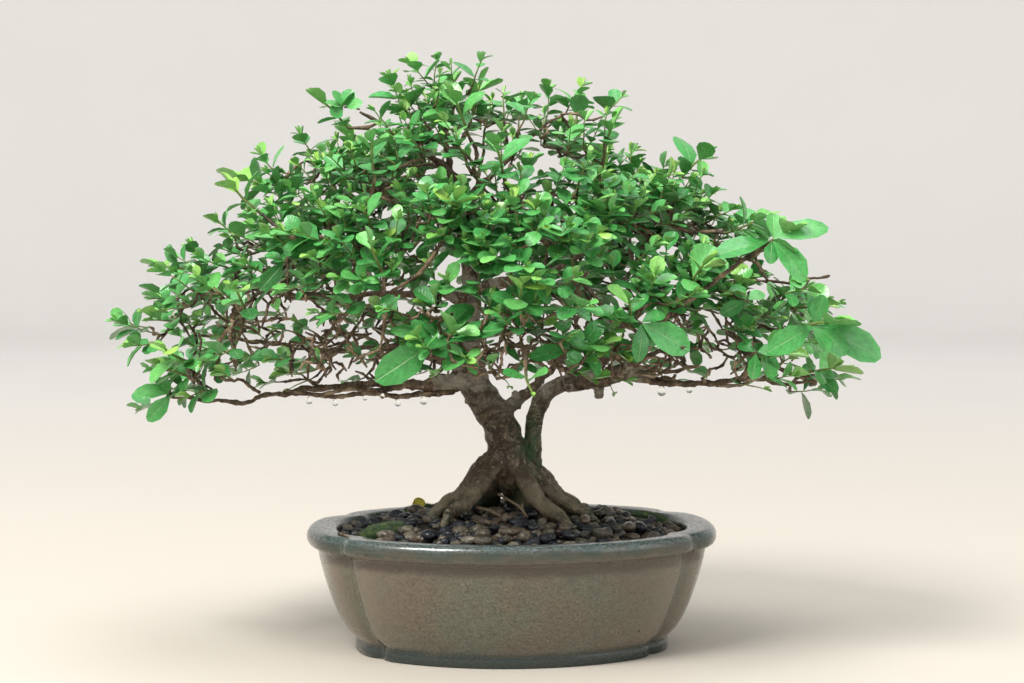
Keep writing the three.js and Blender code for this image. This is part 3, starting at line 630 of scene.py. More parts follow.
stubs = [
    [(48, -8, 157, 3), (50, -8, 151, 2.7), (50, -8, 146, 2.4)],
    [(-19, -3, 147, 4), (-24, -6, 146, 3.4), (-27, -8, 144, 2.2)],
    [(2, 6, 139, 3), (3, 5, 145, 2.4), (1, 4, 149, 1.8)],
]
rootlets = [
    [(-9, -14, 91, 0.9), (-5, -19, 90, 0.9), (2, -22, 85, 0.8), (7, -26, 79, 0.7)],
    [(-22, -16, 84, 0.9), (-11, -26, 81, 0.9), (-4, -30, 76.5, 0.7)],
    [(4, -20, 86, 0.8), (5, -24, 80, 0.9), (6, -27, 74, 0.8)],
]


def smoothRoute(route, step):
    # a smooth curve through the route's points, sampled about every step
    points = np.array(route, dtype=float)
    padded = np.vstack([2 * points[0] - points[1], points, 2 * points[-1] - points[-2]])
    samples = []
    for before, start, end, after in zip(padded, padded[1:], padded[2:], padded[3:]):
        count = max(1, int(round(np.linalg.norm(end[:3] - start[:3]) / step)))
        for share in np.arange(count) / count:
            samples.append(0.5 * (2 * start + (end - before) * share
                                  + (2 * before - 5 * start + 4 * end - after) * share**2
                                  + (3 * start - before - 3 * end + after) * share**3))
    samples.append(points[-1])
    return np.array(samples)


def gnarl(samples, shift, swell, seed):
    # bends the line and swells the radius a little, most where the wood is thick
    bent = samples.copy()
    for index, sample in enumerate(samples):
        at = Vector(sample[:3]) * 0.09 + Vector((seed, 0, 0))
        ease = min(1, index / 4, (len(samples) - 1 - index) / 4 + 0.3)
        bent[index, :3] += np.array(noise.noise_vector(at)) * shift * ease
        bent[index, 3] *= 1 + swell * noise.noise(at * 2.6)
    return bent


def ringsAlong(samples, sides):
    # circles round a line, turned as little as possible from one to the next
    across = unit(np.array([0.3, 0.8, 0.52]))
    rings = []
    for index, sample in enumerate(samples):
        before = samples[max(index - 1, 0), :3]
        after = samples[min(index + 1, len(samples) - 1), :3]
        along = unit(after - before)
        across = unit(across - along * np.dot(across, along))
        up = np.cross(along, across)
        turns = np.arange(sides) / sides * 2 * math.pi
        ring = sample[:3] + sample[3] * (np.outer(np.cos(turns), across) + np.outer(np.sin(turns), up))
        rings.append(ring)
    return np.array(rings)


def tubeData(samples, sides, offset):
    rings = ringsAlong(samples, sides)
    count = len(rings)
    points = np.vstack([rings.reshape(-1, 3), samples[0, :3], samples[-1, :3]])
    faces = []
    for ring in range(count - 1):
        low = offset + ring * sides
        for side in range(sides):
            after = (side + 1) % sides
            faces.append((low + side, low + after, low + sides + after, low + sides + side))
    first = offset + count * sides
    last = offset + (count - 1) * sides
    for side in range(sides):
        after = (side + 1) % sides
        faces.append((first, offset + after, offset + side))
        faces.append((first + 1, last + side, last + after))
    return points, faces


class Centrelines:
    # the lines that all wood follows, to give each point of a surface its grain
    def __init__(self):
        self.points = []
        self.ways = []

    def add(self, samples):
        steps = np.diff(samples[:, :3], axis=0)
        ways = np.vstack([steps, steps[-1]])
        self.points.extend(samples[:, :3])
        self.ways.extend([unit(way) for way in ways])

    def grainOf(self, mesh, shrink):
        # a surface point's place, shrunk along the wood, so that noise on it makes long streaks
        tree = KDTree(len(self.points))
        for index, point in enumerate(self.points):
            tree.insert(inFrame(point), index)
        tree.balance()
        count = len(mesh.vertices)
        places = np.zeros(count * 3)
        mesh.vertices.foreach_get("co", places)
        places = places.reshape(-1, 3)
        ways = np.zeros((count, 3))
        for index, place in enumerate(places):
            near = tree.find_n(Vector(place), 3)
            total = sum(self.ways[found[1]] for found in near)
            ways[index] = unit(total)
        along = (places * ways).sum(axis=1)[:, None]
        grain = places - ways * along * shrink
        setValues(mesh, "grain", "FLOAT_VECTOR", grain)
        return places


def geometryTree(name, inputs):
    tree = bpy.data.node_groups.new(name, "GeometryNodeTree")
    tree.interface.new_socket(name="Geometry", in_out="INPUT", socket_type="NodeSocketGeometry")
    for label, (kind, value) in inputs.items():
        socket = tree.interface.new_socket(name=label, in_out="INPUT", socket_type=kind)
        if value is not None:
            socket.default_value = value
    tree.interface.new_socket(name="Geometry", in_out="OUTPUT", socket_type="NodeSocketGeometry")
    return tree, tree.nodes.new("NodeGroupInput"), tree.nodes.new("NodeGroupOutput")


def finishTree(tree, given, result, geometry):
    # dresses the geometry in the material that is asked for and hands it out
    values = {"Geometry": geometry, "Material": given.outputs["Material"]}
    tree.links.new(addNode(tree, "GeometryNodeSetMaterial", values).outputs[0], result.inputs[0])
    return tree


def carriedOf(tree, name, kind):
    return addNode(tree, "GeometryNodeInputNamedAttribute", {"Name": name}, data_type=kind).outputs[0]


def barkReliefTree():
    # pushes a surface in and out along its normals: lumps, then long ridges along the grain
    tree, given, result = geometryTree("barkRelief", {
        "Lump Size": ("NodeSocketFloat", 90.0), "Lump Depth": ("NodeSocketFloat", 0.001),
        "Ridge Size": ("NodeSocketFloat", 240.0), "Ridge Depth": ("NodeSocketFloat", 0.0007),
        "Material": ("NodeSocketMaterial", None),
    })
    place = addNode(tree, "GeometryNodeInputPosition").outputs[0]
    grain = carriedOf(tree, "grain", "FLOAT_VECTOR")
    lumps = noiseOf(tree, place, given.outputs["Lump Size"], 2, 0.5)
    ridges = noiseOf(tree, grain, given.outputs["Ridge Size"], 3, 0.6)
    lumps = times(tree, calc(tree, "SUBTRACT", lumps, 0.5), given.outputs["Lump Depth"])
    ridges = times(tree, calc(tree, "SUBTRACT", ridges, 0.5), given.outputs["Ridge Depth"])
    height = times(tree, calc(tree, "ADD", lumps, ridges), 2.0)
    normal = addNode(tree, "GeometryNodeInputNormal").outputs[0]
    push = addNode(tree, "ShaderNodeVectorMath", {0: normal, "Scale": height}, operation="SCALE").outputs[0]
    values = {"Geometry": given.outputs["Geometry"], "Offset": push}
    return finishTree(tree, given, result, addNode(tree, "GeometryNodeSetPosition", values).outputs[0])


barkRelief = barkReliefTree()
wood = {
    "voxel": 0.84, "smoothing": 5, "limbCut": 3.1, "limbSides": 12, "limbStep": 1.9, "step": 1.6,
    "swell": 0.1,
    "flare": 0.35, "flareLength": 7,
    # how many sides the section has and how far it wanders
    "trunk": (28, 0.9), "secondTrunk": (20, 0.7), "root": (16, 1.0), "stub": (12, 0.2),
    "limbStart": (14, 0.6),
}


def thickStart(route):
    # the first stretch of a limb, which is fused to the trunk
    kept = [point for point in route if point[3] >= wood["limbCut"]]
    return route[:max(2, len(kept))]


def flareStart(samples):
    reach = np.concatenate([[0], np.cumsum(np.linalg.norm(np.diff(samples[:, :3], axis=0), axis=1))])
    flared = samples.copy()
    flared[:, 3] *= 1 + wood["flare"] * np.exp(-reach / wood["flareLength"])
    return flared


centrelines = Centrelines()


def makeTrunk():
    points = []
    faces = []
    thick = [(trunk, *wood["trunk"]), (secondTrunk, *wood["secondTrunk"])]
    thick += [(root, *wood["root"]) for root in roots]
    thick += [(stub, *wood["stub"]) for stub in stubs]
    for route in limbs.values():
        if route[0][3] >= wood["limbCut"]:
            thick.append((thickStart(route), *wood["limbStart"]))
    for index, (route, sides, shift) in enumerate(thick):
        samples = gnarl(smoothRoute(route, wood["step"]), shift, wood["swell"], index * 3.7)
        if index > 1:
            samples = flareStart(samples)
        centrelines.add(samples)
        tubePoints, tubeFaces = tubeData(samples, sides, len(points))
        points.extend(tubePoints)
        faces.extend(tubeFaces)
    body = newObject("trunkAndRoots", meshFrom("trunkAndRoots", inFrame(points), faces))
    fuse = body.modifiers.new("fuse", "REMESH")
    fuse.mode = "VOXEL"
    fuse.voxel_size = wood["voxel"] * millimetre
    fuse.use_smooth_shade = True
    soften = body.modifiers.new("soften", "SMOOTH")
    soften.factor = 0.6
    soften.iterations = wood["smoothing"]
    applyModifiers(body)
    places = centrelines.grainOf(body.data, 0.72)
    x, y, z = places.T
    # algae in the crease between the trunks and low on the roots
    crease = np.linalg.norm((places - inFrame((9, 2, 112))) / np.array([0.012, 0.016, 0.030]), axis=1)
    algae = np.clip(1.25 - crease, 0, 1) + 0.35 * fade(z, 0.1, 0.08)
    setValues(body.data, "algae", "FLOAT", algae)
    # painted shade: the bark is painted near-black in the hollow between the roots
    hollow = fade(z, 0.096, 0.084) * fade(y, -0.004, 0.002) * fade(abs(x - 0.002), 0.030, 0.022)
    setValues(body.data, "shade", "FLOAT", 0.92 * hollow * fade(y, 0.034, 0.024))
    relief = {"Lump Size": 85.0, "Lump Depth": 0.0016, "Ridge Size": 330.0, "Ridge Depth": 0.0009}
    body = runNodes("trunkAndRoots", body, barkRelief, {**relief, "Material": trunkBark})
    return settle(body, "bark", "wood")


makeTrunk()
print("trunk and roots made")


def splineObject(name, routes):
    # one poly spline for each route, with its radii
    curve = bpy.data.curves.new(name, "CURVE")
    curve.dimensions = "3D"
    for route in routes:
        spline = curve.splines.new("POLY")
        spline.points.add(len(route) - 1)
        places = np.column_stack([inFrame(route[:, :3]), np.ones(len(route))])
        spline.points.foreach_set("co", places.ravel())
        spline.points.foreach_set("radius", route[:, 3] * millimetre)
    return newObject(name, curve)


def branchTree():
    # a round section swept along every line, as thick as the line's radius says
    tree, given, result = geometryTree("branchTubes", {
        "Sides": ("NodeSocketInt", 6), "Greenness": ("NodeSocketFloat", 0.0),
        "Material": ("NodeSocketMaterial", None),
    })
    alongLine = addNode(tree, "GeometryNodeSplineParameter").outputs["Factor"]
    green = times(tree, calc(tree, "ADD", times(tree, alongLine, 0.75), 0.25), given.outputs["Greenness"])
    named = addNode(tree, "GeometryNodeStoreNamedAttribute", {
        "Geometry": given.outputs["Geometry"], "Name": "greenness", "Value": green,
    })
    section = addNode(tree, "GeometryNodeCurvePrimitiveCircle", {
        "Resolution": given.outputs["Sides"], "Radius": 1.0,
    })
    radius = addNode(tree, "GeometryNodeInputRadius").outputs[0]
    swept = addNode(tree, "GeometryNodeCurveToMesh", {
        "Curve": named.outputs[0], "Profile Curve": section.outputs[0], "Scale": radius, "Fill Caps": True,
    })
    soft = addNode(tree, "GeometryNodeSetShadeSmooth", {"Geometry": swept.outputs[0]})
    return finishTree(tree, given, result, soft.outputs[0])


branchTubes = branchTree()
slimming = {"start": 8, "end": 48, "loss": 0.42, "joint": (1.1, 1.28, 1.1), "kink": 1.6, "lean": 0.55}


def slimmer(samples, draw):
    # away from the trunk a limb is thinner than the solid one, with a swollen joint every few steps
    slim = samples.copy()
    far = fade(np.linalg.norm(slim[:, :3] - slim[0, :3], axis=1), slimming["start"], slimming["end"])
    slim[:, 3] *= 1 - slimming["loss"] * far
    index = 6
    while index < len(slim) - 3:
        slim[index - 1:index + 2, 3] *= np.array(slimming["joint"])
        slim[index - 2:, 2] += (draw() - slimming["lean"]) * slimming["kink"] * far[index]
        index += 4 + int(draw() * 4)
    return slim


def addGrain(body):
    centrelines.grainOf(body.data, 0.7)
    body.data.attributes.new("algae", "FLOAT", "POINT")


def makeLimbs():
    routes = []
    for index, route in enumerate(limbs.values()):
        samples = gnarl(smoothRoute(route, wood["limbStep"]), 1.7, 0.22, 40 + index * 5.3)
        samples = slimmer(samples, seededDraws(70 + index))
        if route[0][3] < wood["limbCut"]:
            samples = flareStart(samples)
        routes.append(samples)
        centrelines.add(samples)
    lines = splineObject("limbLines", routes)
    body = runNodes("limbWood", lines, branchTubes, {"Sides": wood["limbSides"], "Material": limbBark})
    addGrain(body)
    relief = {"Lump Size": 190.0, "Lump Depth": 0.0011, "Ridge Size": 420.0, "Ridge Depth": 0.0006}
    body = runNodes("limbWood", body, barkRelief, {**relief, "Material": limbBark})
    return settle(body, "bark", "wood")


makeLimbs()
print("limbs made")

# Growth of the twigs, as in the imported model, and then of the finer ones
crown = {
    "x": -3, "z": 158, "left": 227, "right": 211, "depth": 146, "top": 178, "leftPower": 2.1,
    "rightPower": 1.6,
    "frontRise": 14,
}
shoots = {
    "places": 44, "apart": 34, "seed": 30, "reach": 0.87, "lowest": -0.03, "lowering": 1.15,
    "step": 22, "wander": 2.6, "sag": 0.06, "crowding": 12, "tip": 1.0, "fresh": 1.5, "fork": 1.6,
    "knot": 1.3,
}
fineTwigs = {
    "shell": 620, "seed": 77, "reach": 0.86, "spread": 0.18, "lowest": -0.08, "lowering": 1.1,
    "stride": 0.7548777,
    "topRise": 0.04, "shoulderDip": 0.075, "padScale": (0.019, 0.021, 0.046), "padLevel": 0.02,
    "step": 8, "wander": 2.6, "sag": 0.02, "crowding": 7, "tip": 0.6, "fresh": 1.15, "fork": 1.5,
    "knot": 1.2,
    # lowest value and spread of the direction's rise and of the reach
    "inner": {"count": 50, "rise": (0.15, 0.7), "reach": (0.45, 0.35), "power": 1},
    "bare": {"count": 640, "rise": (-0.02, 0.36), "reach": (0.3, 0.57), "power": 0.5},
}
sprayEnds = [
    (-46, -99, 184), (-10, -88, 196), (21, -104, 181), (56, -104, 193), (22, -79, 250), (125, -98, 234),
    (149, -94, 191), (-95, -71, 231), (-184, -17, 160), (163, -41, 162), (-93, 8, 303),
]


def crownPoint(direction, reach):
    dx, dy, dz = direction
    rightness = min(max(dx + 0.5, 0), 1)
    power = crown["leftPower"] + (crown["rightPower"] - crown["leftPower"]) * rightness
    half = crown["left"] if dx < 0 else crown["right"]
    total = abs(dx / half) ** power + abs(dy / crown["depth"]) ** power + abs(dz / crown["top"]) ** power
    radius = reach / total ** (1 / power)
    rise = crown["frontRise"] * max(0, -dy * radius / crown["depth"]) * (1 - dz)
    return np.array([crown["x"] + dx * radius, dy * radius, crown["z"] + dz * radius + rise])


def crownDirection(angle, rise):
    flat = math.sqrt(max(0, 1 - rise * rise))
    return flat * math.cos(angle), flat * math.sin(angle), rise


def coarseTargets():
    draw = seededDraws(shoots["seed"])
    targets = [np.array(end, dtype=float) for end in sprayEnds]
    for index in range(shoots["places"]):
        share = ((index + 0.5) / shoots["places"]) ** shoots["lowering"]
        rise = shoots["lowest"] + (1 - shoots["lowest"]) * share
        angle = index * goldenAngle + (draw() - 0.5) * 0.25
        at = crownPoint(crownDirection(angle, rise), shoots["reach"] + (draw() - 0.5) * 0.06)
        if all(np.linalg.norm(at - np.array(end)) > shoots["apart"] for end in sprayEnds):
            targets.append(at)
    return targets


class Knots:
    # the points of the wood that a twig can fork from
    def __init__(self):
        self.at = []
        self.ways = []
        self.radii = []
        self.crowded = []

    def add(self, at, origin, radius, crowded=False):
        self.at.append(np.array(at, dtype=float))
        self.ways.append(unit(self.at[-1] - np.array(origin, dtype=float)))
        self.radii.append(radius)
        self.crowded.append(crowded)


def limbKnots():
    knots = Knots()
    for route in limbs.values():
        points = np.array(route, dtype=float)
        for last, here in zip(points, points[1:]):
            halfway = (last + here) / 2
            knots.add(halfway[:3], last[:3], halfway[3])
        knots.add(points[-1, :3], points[-2, :3], points[-1, 3])
    return knots


def growTwigs(targets, knots, style, draw):
    # joins each target to the cheapest knot, nearest pairs first; turning back costs more
    targets = np.array(targets)
    bestPrice = np.full(len(targets), np.inf)
    bestKnot = np.zeros(len(targets), dtype=int)
    waiting = np.ones(len(targets), dtype=bool)

    def priceOf(which, first):
        places = np.array(knots.at[first:])
        ways = np.array(knots.ways[first:])
        crowded = np.array(knots.crowded[first:])
        gaps = targets[which][:, None, :] - places[None]
        reach = np.maximum(np.linalg.norm(gaps, axis=2), 1e-6)
        straight = (gaps * ways[None]).sum(axis=2) / reach
        return reach * (1.5 - 0.5 * straight) + crowded[None] * style["crowding"]

    def refresh(which, first):
        prices = priceOf(which, first)
        nearest = prices.argmin(axis=1)
        lowest = prices[np.arange(len(which)), nearest]
        better = lowest < bestPrice[which]
        bestPrice[which[better]] = lowest[better]
        bestKnot[which[better]] = nearest[better] + first

    refresh(np.arange(len(targets)), 0)
    routes = [None] * len(targets)
    for _ in range(len(targets)):
        chosen = int(np.argmin(np.where(waiting, bestPrice, np.inf)))
        waiting[chosen] = False
        knot = bestKnot[chosen]
        knots.crowded[knot] = True
        start = knots.at[knot]
        target = targets[chosen]
        way = np.linalg.norm(target - start)
        steps = max(2, int(way / style["step"] + 0.5))
        route = [[*start, min(knots.radii[knot] * 0.5, style["fork"])]]
        last = start
        firstNew = len(knots.at)
        for step in range(1, steps + 1):
            share = step / steps
            bow = 1 if step < steps else 0
            wander = np.array([(draw() - 0.5) * 2 * style["wander"] for _ in range(3)])
            at = start + (target - start) * share + bow * wander
            at[2] -= bow * style["sag"] * way * (1 - share)
            route.append([*at, style["fresh"] + (style["tip"] - style["fresh"]) * share])
            if step > 1:
                knots.add((at + last) / 2, last, style["knot"], step == steps)
            last = at
        routes[chosen] = np.array(route)
        stale = np.flatnonzero(waiting & (bestKnot == knot))
        bestPrice[stale] = np.inf
        if len(stale):
            refresh(stale, 0)
        others = np.flatnonzero(waiting)
        if len(others) and firstNew < len(knots.at):
            refresh(others, firstNew)
    return routes


def smoothShare(value, low, high):
    share = min(max((value - low) / (high - low), 0), 1)
    return share * share * (3 - 2 * share)


def leafiness(dx, dy, rise):
    # low down the twigs are bare, but for the crown's two ends
    low = 0.03 if dy < 0 else 0.2
    ends = smoothShare(abs(dx), 0.78, 0.93) * (0.3 + 0.7 * smoothShare(rise, 0.06, 0.24))
    return max(low, smoothShare(rise, 0.2, 0.48), ends)


def fineTargets(draw):
    # shoots on the crown's shell in clouds with gaps between, sparse ones inside, bare twigs below
    targets = []
    index = 0
    while len(targets) < fineTwigs["shell"]:
        share = ((index * fineTwigs["stride"]) % 1) ** fineTwigs["lowering"]
        rise = fineTwigs["lowest"] + (1 - fineTwigs["lowest"]) * share
        direction = crownDirection(index * goldenAngle, rise)
        index += 1
        reach = fineTwigs["reach"] + (draw() - 0.6) * fineTwigs["spread"]
        shoulder = smoothShare(abs(direction[0]), 0.25, 0.5) * smoothShare(rise, 0.2, 0.45)
        reach += fineTwigs["topRise"] * smoothShare(rise, 0.88, 0.98) - fineTwigs["shoulderDip"] * shoulder
        at = crownPoint(direction, reach)
        pads = noise.noise(Vector(at * np.array(fineTwigs["padScale"])))
        if pads > fineTwigs["padLevel"] and draw() < leafiness(direction[0], direction[1], rise):
            targets.append(at)
    for zone in (fineTwigs["inner"], fineTwigs["bare"]):
        for _ in range(zone["count"]):
            angle = draw() * 2 * math.pi
            rise = zone["rise"][0] + zone["rise"][1] * draw()
            reach = zone["reach"][0] + zone["reach"][1] * draw() ** zone["power"]
            targets.append(crownPoint(crownDirection(angle, rise), reach))
    return targets


lowTwigs = [
    [(-30, 0, 153, 2.2), (-42, -6, 149, 1.8), (-55, -9, 150, 1.6), (-68, -9, 148, 1.5), (-86, -7, 150, 1.4),
     (-104, -9, 148, 1.3), (-119, -7, 149, 1.2), (-133, -10, 151, 1.0)],
    [(-60, -8, 155, 1.6), (-76, -16, 152, 1.4), (-95, -20, 154, 1.2), (-112, -24, 151, 1.1),
     (-131, -22, 153, 0.9)],
    [(70, -14, 159, 1.7), (84, -22, 156, 1.4), (101, -23, 156, 1.3), (118, -20, 154, 1.1),
     (136, -24, 156, 0.9)],
    [(38, -4, 156, 2.0), (52, 4, 160, 1.6), (70, 10, 163, 1.4), (92, 12, 160, 1.2), (112, 8, 163, 1.0)],
]

# Sprays of large leaves that stand out: their middle, then the tip of each leaf
largeSprays = [
    [(-50, -108, 186), (-81, -114, 166), (-72, -105, 195), (-30, -100, 206), (-14, -117, 194),
     (-35, -106, 176), (-62, -111, 197)],
    [(-10, -98, 200), (16, -104, 215), (-22, -97, 212), (-22, -105, 203), (3, -105, 195)],
    [(23, -114, 183), (1, -118, 178), (27, -114, 192), (24, -122, 176), (43, -112, 184), (9, -107, 189)],
    [(60, -113, 196), (34, -111, 203), (59, -121, 177), (73, -110, 201), (87, -109, 181), (69, -108, 184)],
    [(23, -87, 258), (-6, -91, 242), (38, -88, 254), (21, -81, 268)],
    [(-8, -80, 241), (-33, -82, 228), (-3, -84, 233), (-13, -75, 249)],
    [(132, -106, 240), (101, -107, 232), (162, -106, 250), (149, -115, 220), (130, -112, 228),
     (119, -99, 246)],
    [(157, -101, 194), (131, -107, 180), (157, -99, 209), (173, -108, 179), (194, -100, 176),
     (145, -94, 191)],
    [(124, -80, 206), (109, -83, 199), (133, -77, 211), (117, -79, 213)],
    [(-101, -77, 237), (-128, -79, 234), (-82, -75, 246), (-98, -86, 218), (-74, -79, 228)],
    [(-130, -70, 228), (-143, -75, 213), (-121, -65, 236), (-140, -69, 232)],
    [(128, -85, 178), (125, -91, 164), (139, -86, 180), (119, -81, 182)],
    [(170, -43, 162), (182, -48, 153), (166, -39, 168), (181, -44, 162)],
    [(-197, -5, 150), (-210, -8, 135), (-218, -3, 153), (-205, 0, 159), (-188, -9, 156)],
    [(-97, 8, 315), (-103, 8, 324), (-88, 3, 318), (-104, 4, 311), (-93, 11, 325), (-108, 6, 318)],
]
knots = limbKnots()
coarseRoutes = growTwigs(coarseTargets(), knots, shoots, seededDraws(shoots["seed"] + 1))
fineDraw = seededDraws(fineTwigs["seed"])
sprayMiddles = [np.array(spray[0], dtype=float) for spray in largeSprays]
fineRoutes = growTwigs(sprayMiddles + fineTargets(fineDraw), knots, fineTwigs, fineDraw)
print("twigs grown:", len(coarseRoutes), "coarse and", len(fineRoutes), "fine")


def crook(route, spacing, shift, draw):
    # turns a smooth route into short straight stretches with a swollen joint at each bend
    samples = smoothRoute(route, spacing)
    for index in range(1, len(samples) - 1):
        samples[index, :3] += (np.array([draw(), draw(), draw()]) - 0.5) * 2 * shift
    crooked = [samples[0]]
    for last, here in zip(samples, samples[1:]):
        before = last + (here - last) * 0.78
        before[3] *= 0.9
        joint = here.copy()
        joint[3] *= 1.28
        crooked += [before, joint]
    crooked[-1] = samples[-1]
    return np.array(crooked)


leafPairs = [(5, 1.2, 23), (8, 1.1, 26), (8, 0.85, 22)]
finePairs = [(4, 1.15, 12), (6, 1.15, 14), (5.5, 0.95, 12.5), (4.5, 0.6, 8.5)]
leafRules = {
    "big": 1.3, "bigShare": 0.12, "width": 0.68, "coarseScale": 0.64, "stem": 0.95, "gap": 0.35,
    "stagger": 0.8,
    "endSunk": 0.7, "axisJitter": 0.3, "faceJitter": 0.5, "faceOutward": 0.45, "faceAlong": 0.2,
    "bend": 0.35, "pairTurn": 1.45, "seat": 0.55, "taper": 0.12, "hangLimit": 5, "clearWidth": 150,
}
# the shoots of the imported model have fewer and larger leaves, and one more at the end
coarseRules = {
    "stem": leafRules["stem"], "scale": leafRules["coarseScale"], "fullness": 1.0, "flat": 0.8,
    "start": 1.2,
    "endLeaf": 19,
}
fineRules = {"stem": 0.5, "fullness": 0.9, "flat": 0.6, "start": 0.8, "endLeaf": 0}
fineGrowth = {"size": 1.02, "lossUpwards": 0.18, "vary": 0.1, "bareSkipped": 0.85, "innerSkipped": 0.3}


class Copies:
    # where each copy of a shape sits, its turn, size and shape number, and how light it is
    def __init__(self):
        self.seats = []
        self.turns = []
        self.sizes = []
        self.shapes = []
        self.tones = []

    def add(self, seat, turn, size, shape=0, tone=0.0):
        self.seats.append(seat)
        self.turns.append(turn)
        self.sizes.append(size)
        self.shapes.append(shape)
        self.tones.append(tone)

    def only(self, chosen):
        part = Copies()
        for index in np.flatnonzero(chosen):
            part.add(self.seats[index], self.turns[index], self.sizes[index], self.shapes[index],
                     self.tones[index])
        return part

    def cloud(self, name, toneName):
        mesh = meshFrom(name, inFrame(self.seats), [])
        setValues(mesh, "turn", "FLOAT_VECTOR", self.turns)
        setValues(mesh, "size", "FLOAT_VECTOR", np.array(self.sizes) * millimetre)
        setValues(mesh, "shape", "INT", self.shapes)
        setValues(mesh, toneName, "FLOAT", self.tones)
        return newObject(name, mesh)


leaves = Copies()
stems = []
leafDraw = seededDraws(505)


def squareTo(axis, face):
    return unit(face - axis * np.dot(face, axis))


def addLeafCopy(seat, axis, face, length, width, tint, shape):
    turn = Matrix((axis, np.cross(face, axis), face)).transposed().to_euler()
    leaves.add(seat, tuple(turn), (length, width, length), shape, tint)


def pickShape(young):
    return 4 if young and leafDraw() < 0.6 else int(leafDraw() * 4) + (1 if leafDraw() < 0.15 else 0)


def hangsInTheClear(end):
    # below the crown's lower edge, where the photograph shows no leaves
    lowerEdge = crown["z"] + crown["frontRise"] * max(0, -end[1] / crown["depth"])
    return end[2] < lowerEdge - leafRules["hangLimit"] and abs(end[0]) < leafRules["clearWidth"]


def leafyShoot(route, draw, pairs, rules):
    # a stem on from the twig's end, with leaves in pairs, each pair crosswise to the last,
    # an end leaf where the rules give it a size, and a bud
    tip = route[-1, :3]
    came = unit(tip - route[-2, :3])
    outward = unit(tip - np.array([crown["x"], 0, crown["z"]]))
    heading = unit(outward * 0.75 + came * 0.5 + np.array([0, 0, 0.12]))

    def jitter(size):
        return (np.array([draw(), draw(), draw()]) - 0.5) * size

    def addLeaf(seat, along, leaning, size, youth):
        axis = unit((leaning + jitter(leafRules["axisJitter"])) * np.array([1, 1, rules["flat"]]))
        face = np.array([0, 0, 1]) + outward * leafRules["faceOutward"] + along * leafRules["faceAlong"]
        face = squareTo(axis, face + jitter(leafRules["faceJitter"]))
        big = leafRules["big"] if draw() < leafRules["bigShare"] else 1
        length = size * big * (0.72 + 0.5 * draw()) * rules["scale"]
        width = length * leafRules["width"] * (0.9 + 0.2 * draw())
        if leafDraw() < rules["fullness"] and not hangsInTheClear(seat + axis * length):
            tint = min(1, max(0, 0.12 + mood + 0.5 * youth**2 + 0.25 * (leafDraw() - 0.4)))
            addLeafCopy(seat, axis, face, length, width, tint, pickShape(youth > 0.9))

    turn = draw() * 0.8
    way = heading
    at = tip + came * (leafRules["gap"] + rules["start"] * rules["stem"])
    stem = [[*tip, rules["stem"] * 1.1], [*at, rules["stem"]]]
    mood = leafDraw() * 0.3
    for index, (step, spread, size) in enumerate(pairs):
        way = unit(way + jitter(leafRules["bend"]))
        twist = turn + index * leafRules["pairTurn"]
        side = unit(np.cross(way, np.array([0.2, 0.1, 1])))
        up = unit(np.cross(side, way))
        for sign in (-1, 1):
            lean = side * math.cos(twist) * sign + up * math.sin(twist) * sign
            leaning = way * math.cos(spread) + lean * math.sin(spread)
            seat = at + way * (step * leafRules["seat"] + leafRules["stagger"] * sign)
            addLeaf(seat, way, leaning, size, index / (len(pairs) - 1))
        at = at + way * step
        stem.append([*at, rules["stem"] * (1 - leafRules["taper"] * (index + 1))])
    if rules["endLeaf"]:
        addLeaf(at - way * leafRules["endSunk"], way, way, rules["endLeaf"], 1)
    # the bud is two small folded leaves
    for sign in (-1, 1):
        lean = np.cross(way, unit(jitter(1) + np.array([0.1, 0.2, 0.3])))
        axis = unit(way + lean * 0.35 * sign)
        face = unit(np.cross(axis, np.cross(way * 0.3 + np.array([0, 0, 1]), axis)))
        tint = 0.85 + 0.15 * leafDraw()
        addLeafCopy(at - way * 0.5, axis, face, 4 * rules["scale"] + 1.5, 2.4, tint, 4)
    stems.append(np.array(stem))


def growLeaves():
    for index, route in enumerate(coarseRoutes):
        leafyShoot(route, seededDraws(1000 + shoots["seed"] * 50 + index), leafPairs, coarseRules)
    # the first fine routes lead to the sprays of large leaves
    for index, route in enumerate(fineRoutes[len(largeSprays):]):
        inside = index >= fineTwigs["shell"]
        bare = index >= fineTwigs["shell"] + fineTwigs["inner"]["count"]
        if inside and leafDraw() < fineGrowth["bareSkipped" if bare else "innerSkipped"]:
            continue
        height = (route[-1, 2] - crown["z"]) / crown["top"]
        loss = fineGrowth["lossUpwards"] * height
        size = fineGrowth["size"] - loss + fineGrowth["vary"] * (leafDraw() - 0.5)
        kept = finePairs[2:] if inside else finePairs[int(leafDraw() * 2):]
        leafyShoot(route, seededDraws(9000 + index), kept, {**fineRules, "scale": size})


def growLargeSprays():
    for spray in largeSprays:
        middle = np.array(spray[0], dtype=float)
        for index, tip in enumerate(spray[1:]):
            reach = np.array(tip, dtype=float) - middle
            axis = unit(reach)
            hanging = axis[2] < -0.3
            toViewer = (0.3, -0.95, 0.35) if hanging else (0.12, -0.66, 0.8)
            face = np.array(toViewer) + 0.3 * (np.array([leafDraw(), leafDraw(), leafDraw()]) - 0.5)
            face = squareTo(axis, face)
            length = np.linalg.norm(reach)
            width = max(length * (0.46 + 0.12 * leafDraw()), 9)
            tint = (0.08 if hanging else 0.22) + 0.3 * leafDraw()
            addLeafCopy(middle + axis * 0.8, axis, face, length, width, tint, (0, 3, 1, 0, 5)[index % 5])


growLeaves()
growLargeSprays()
print("leaves placed:", len(leaves.seats))


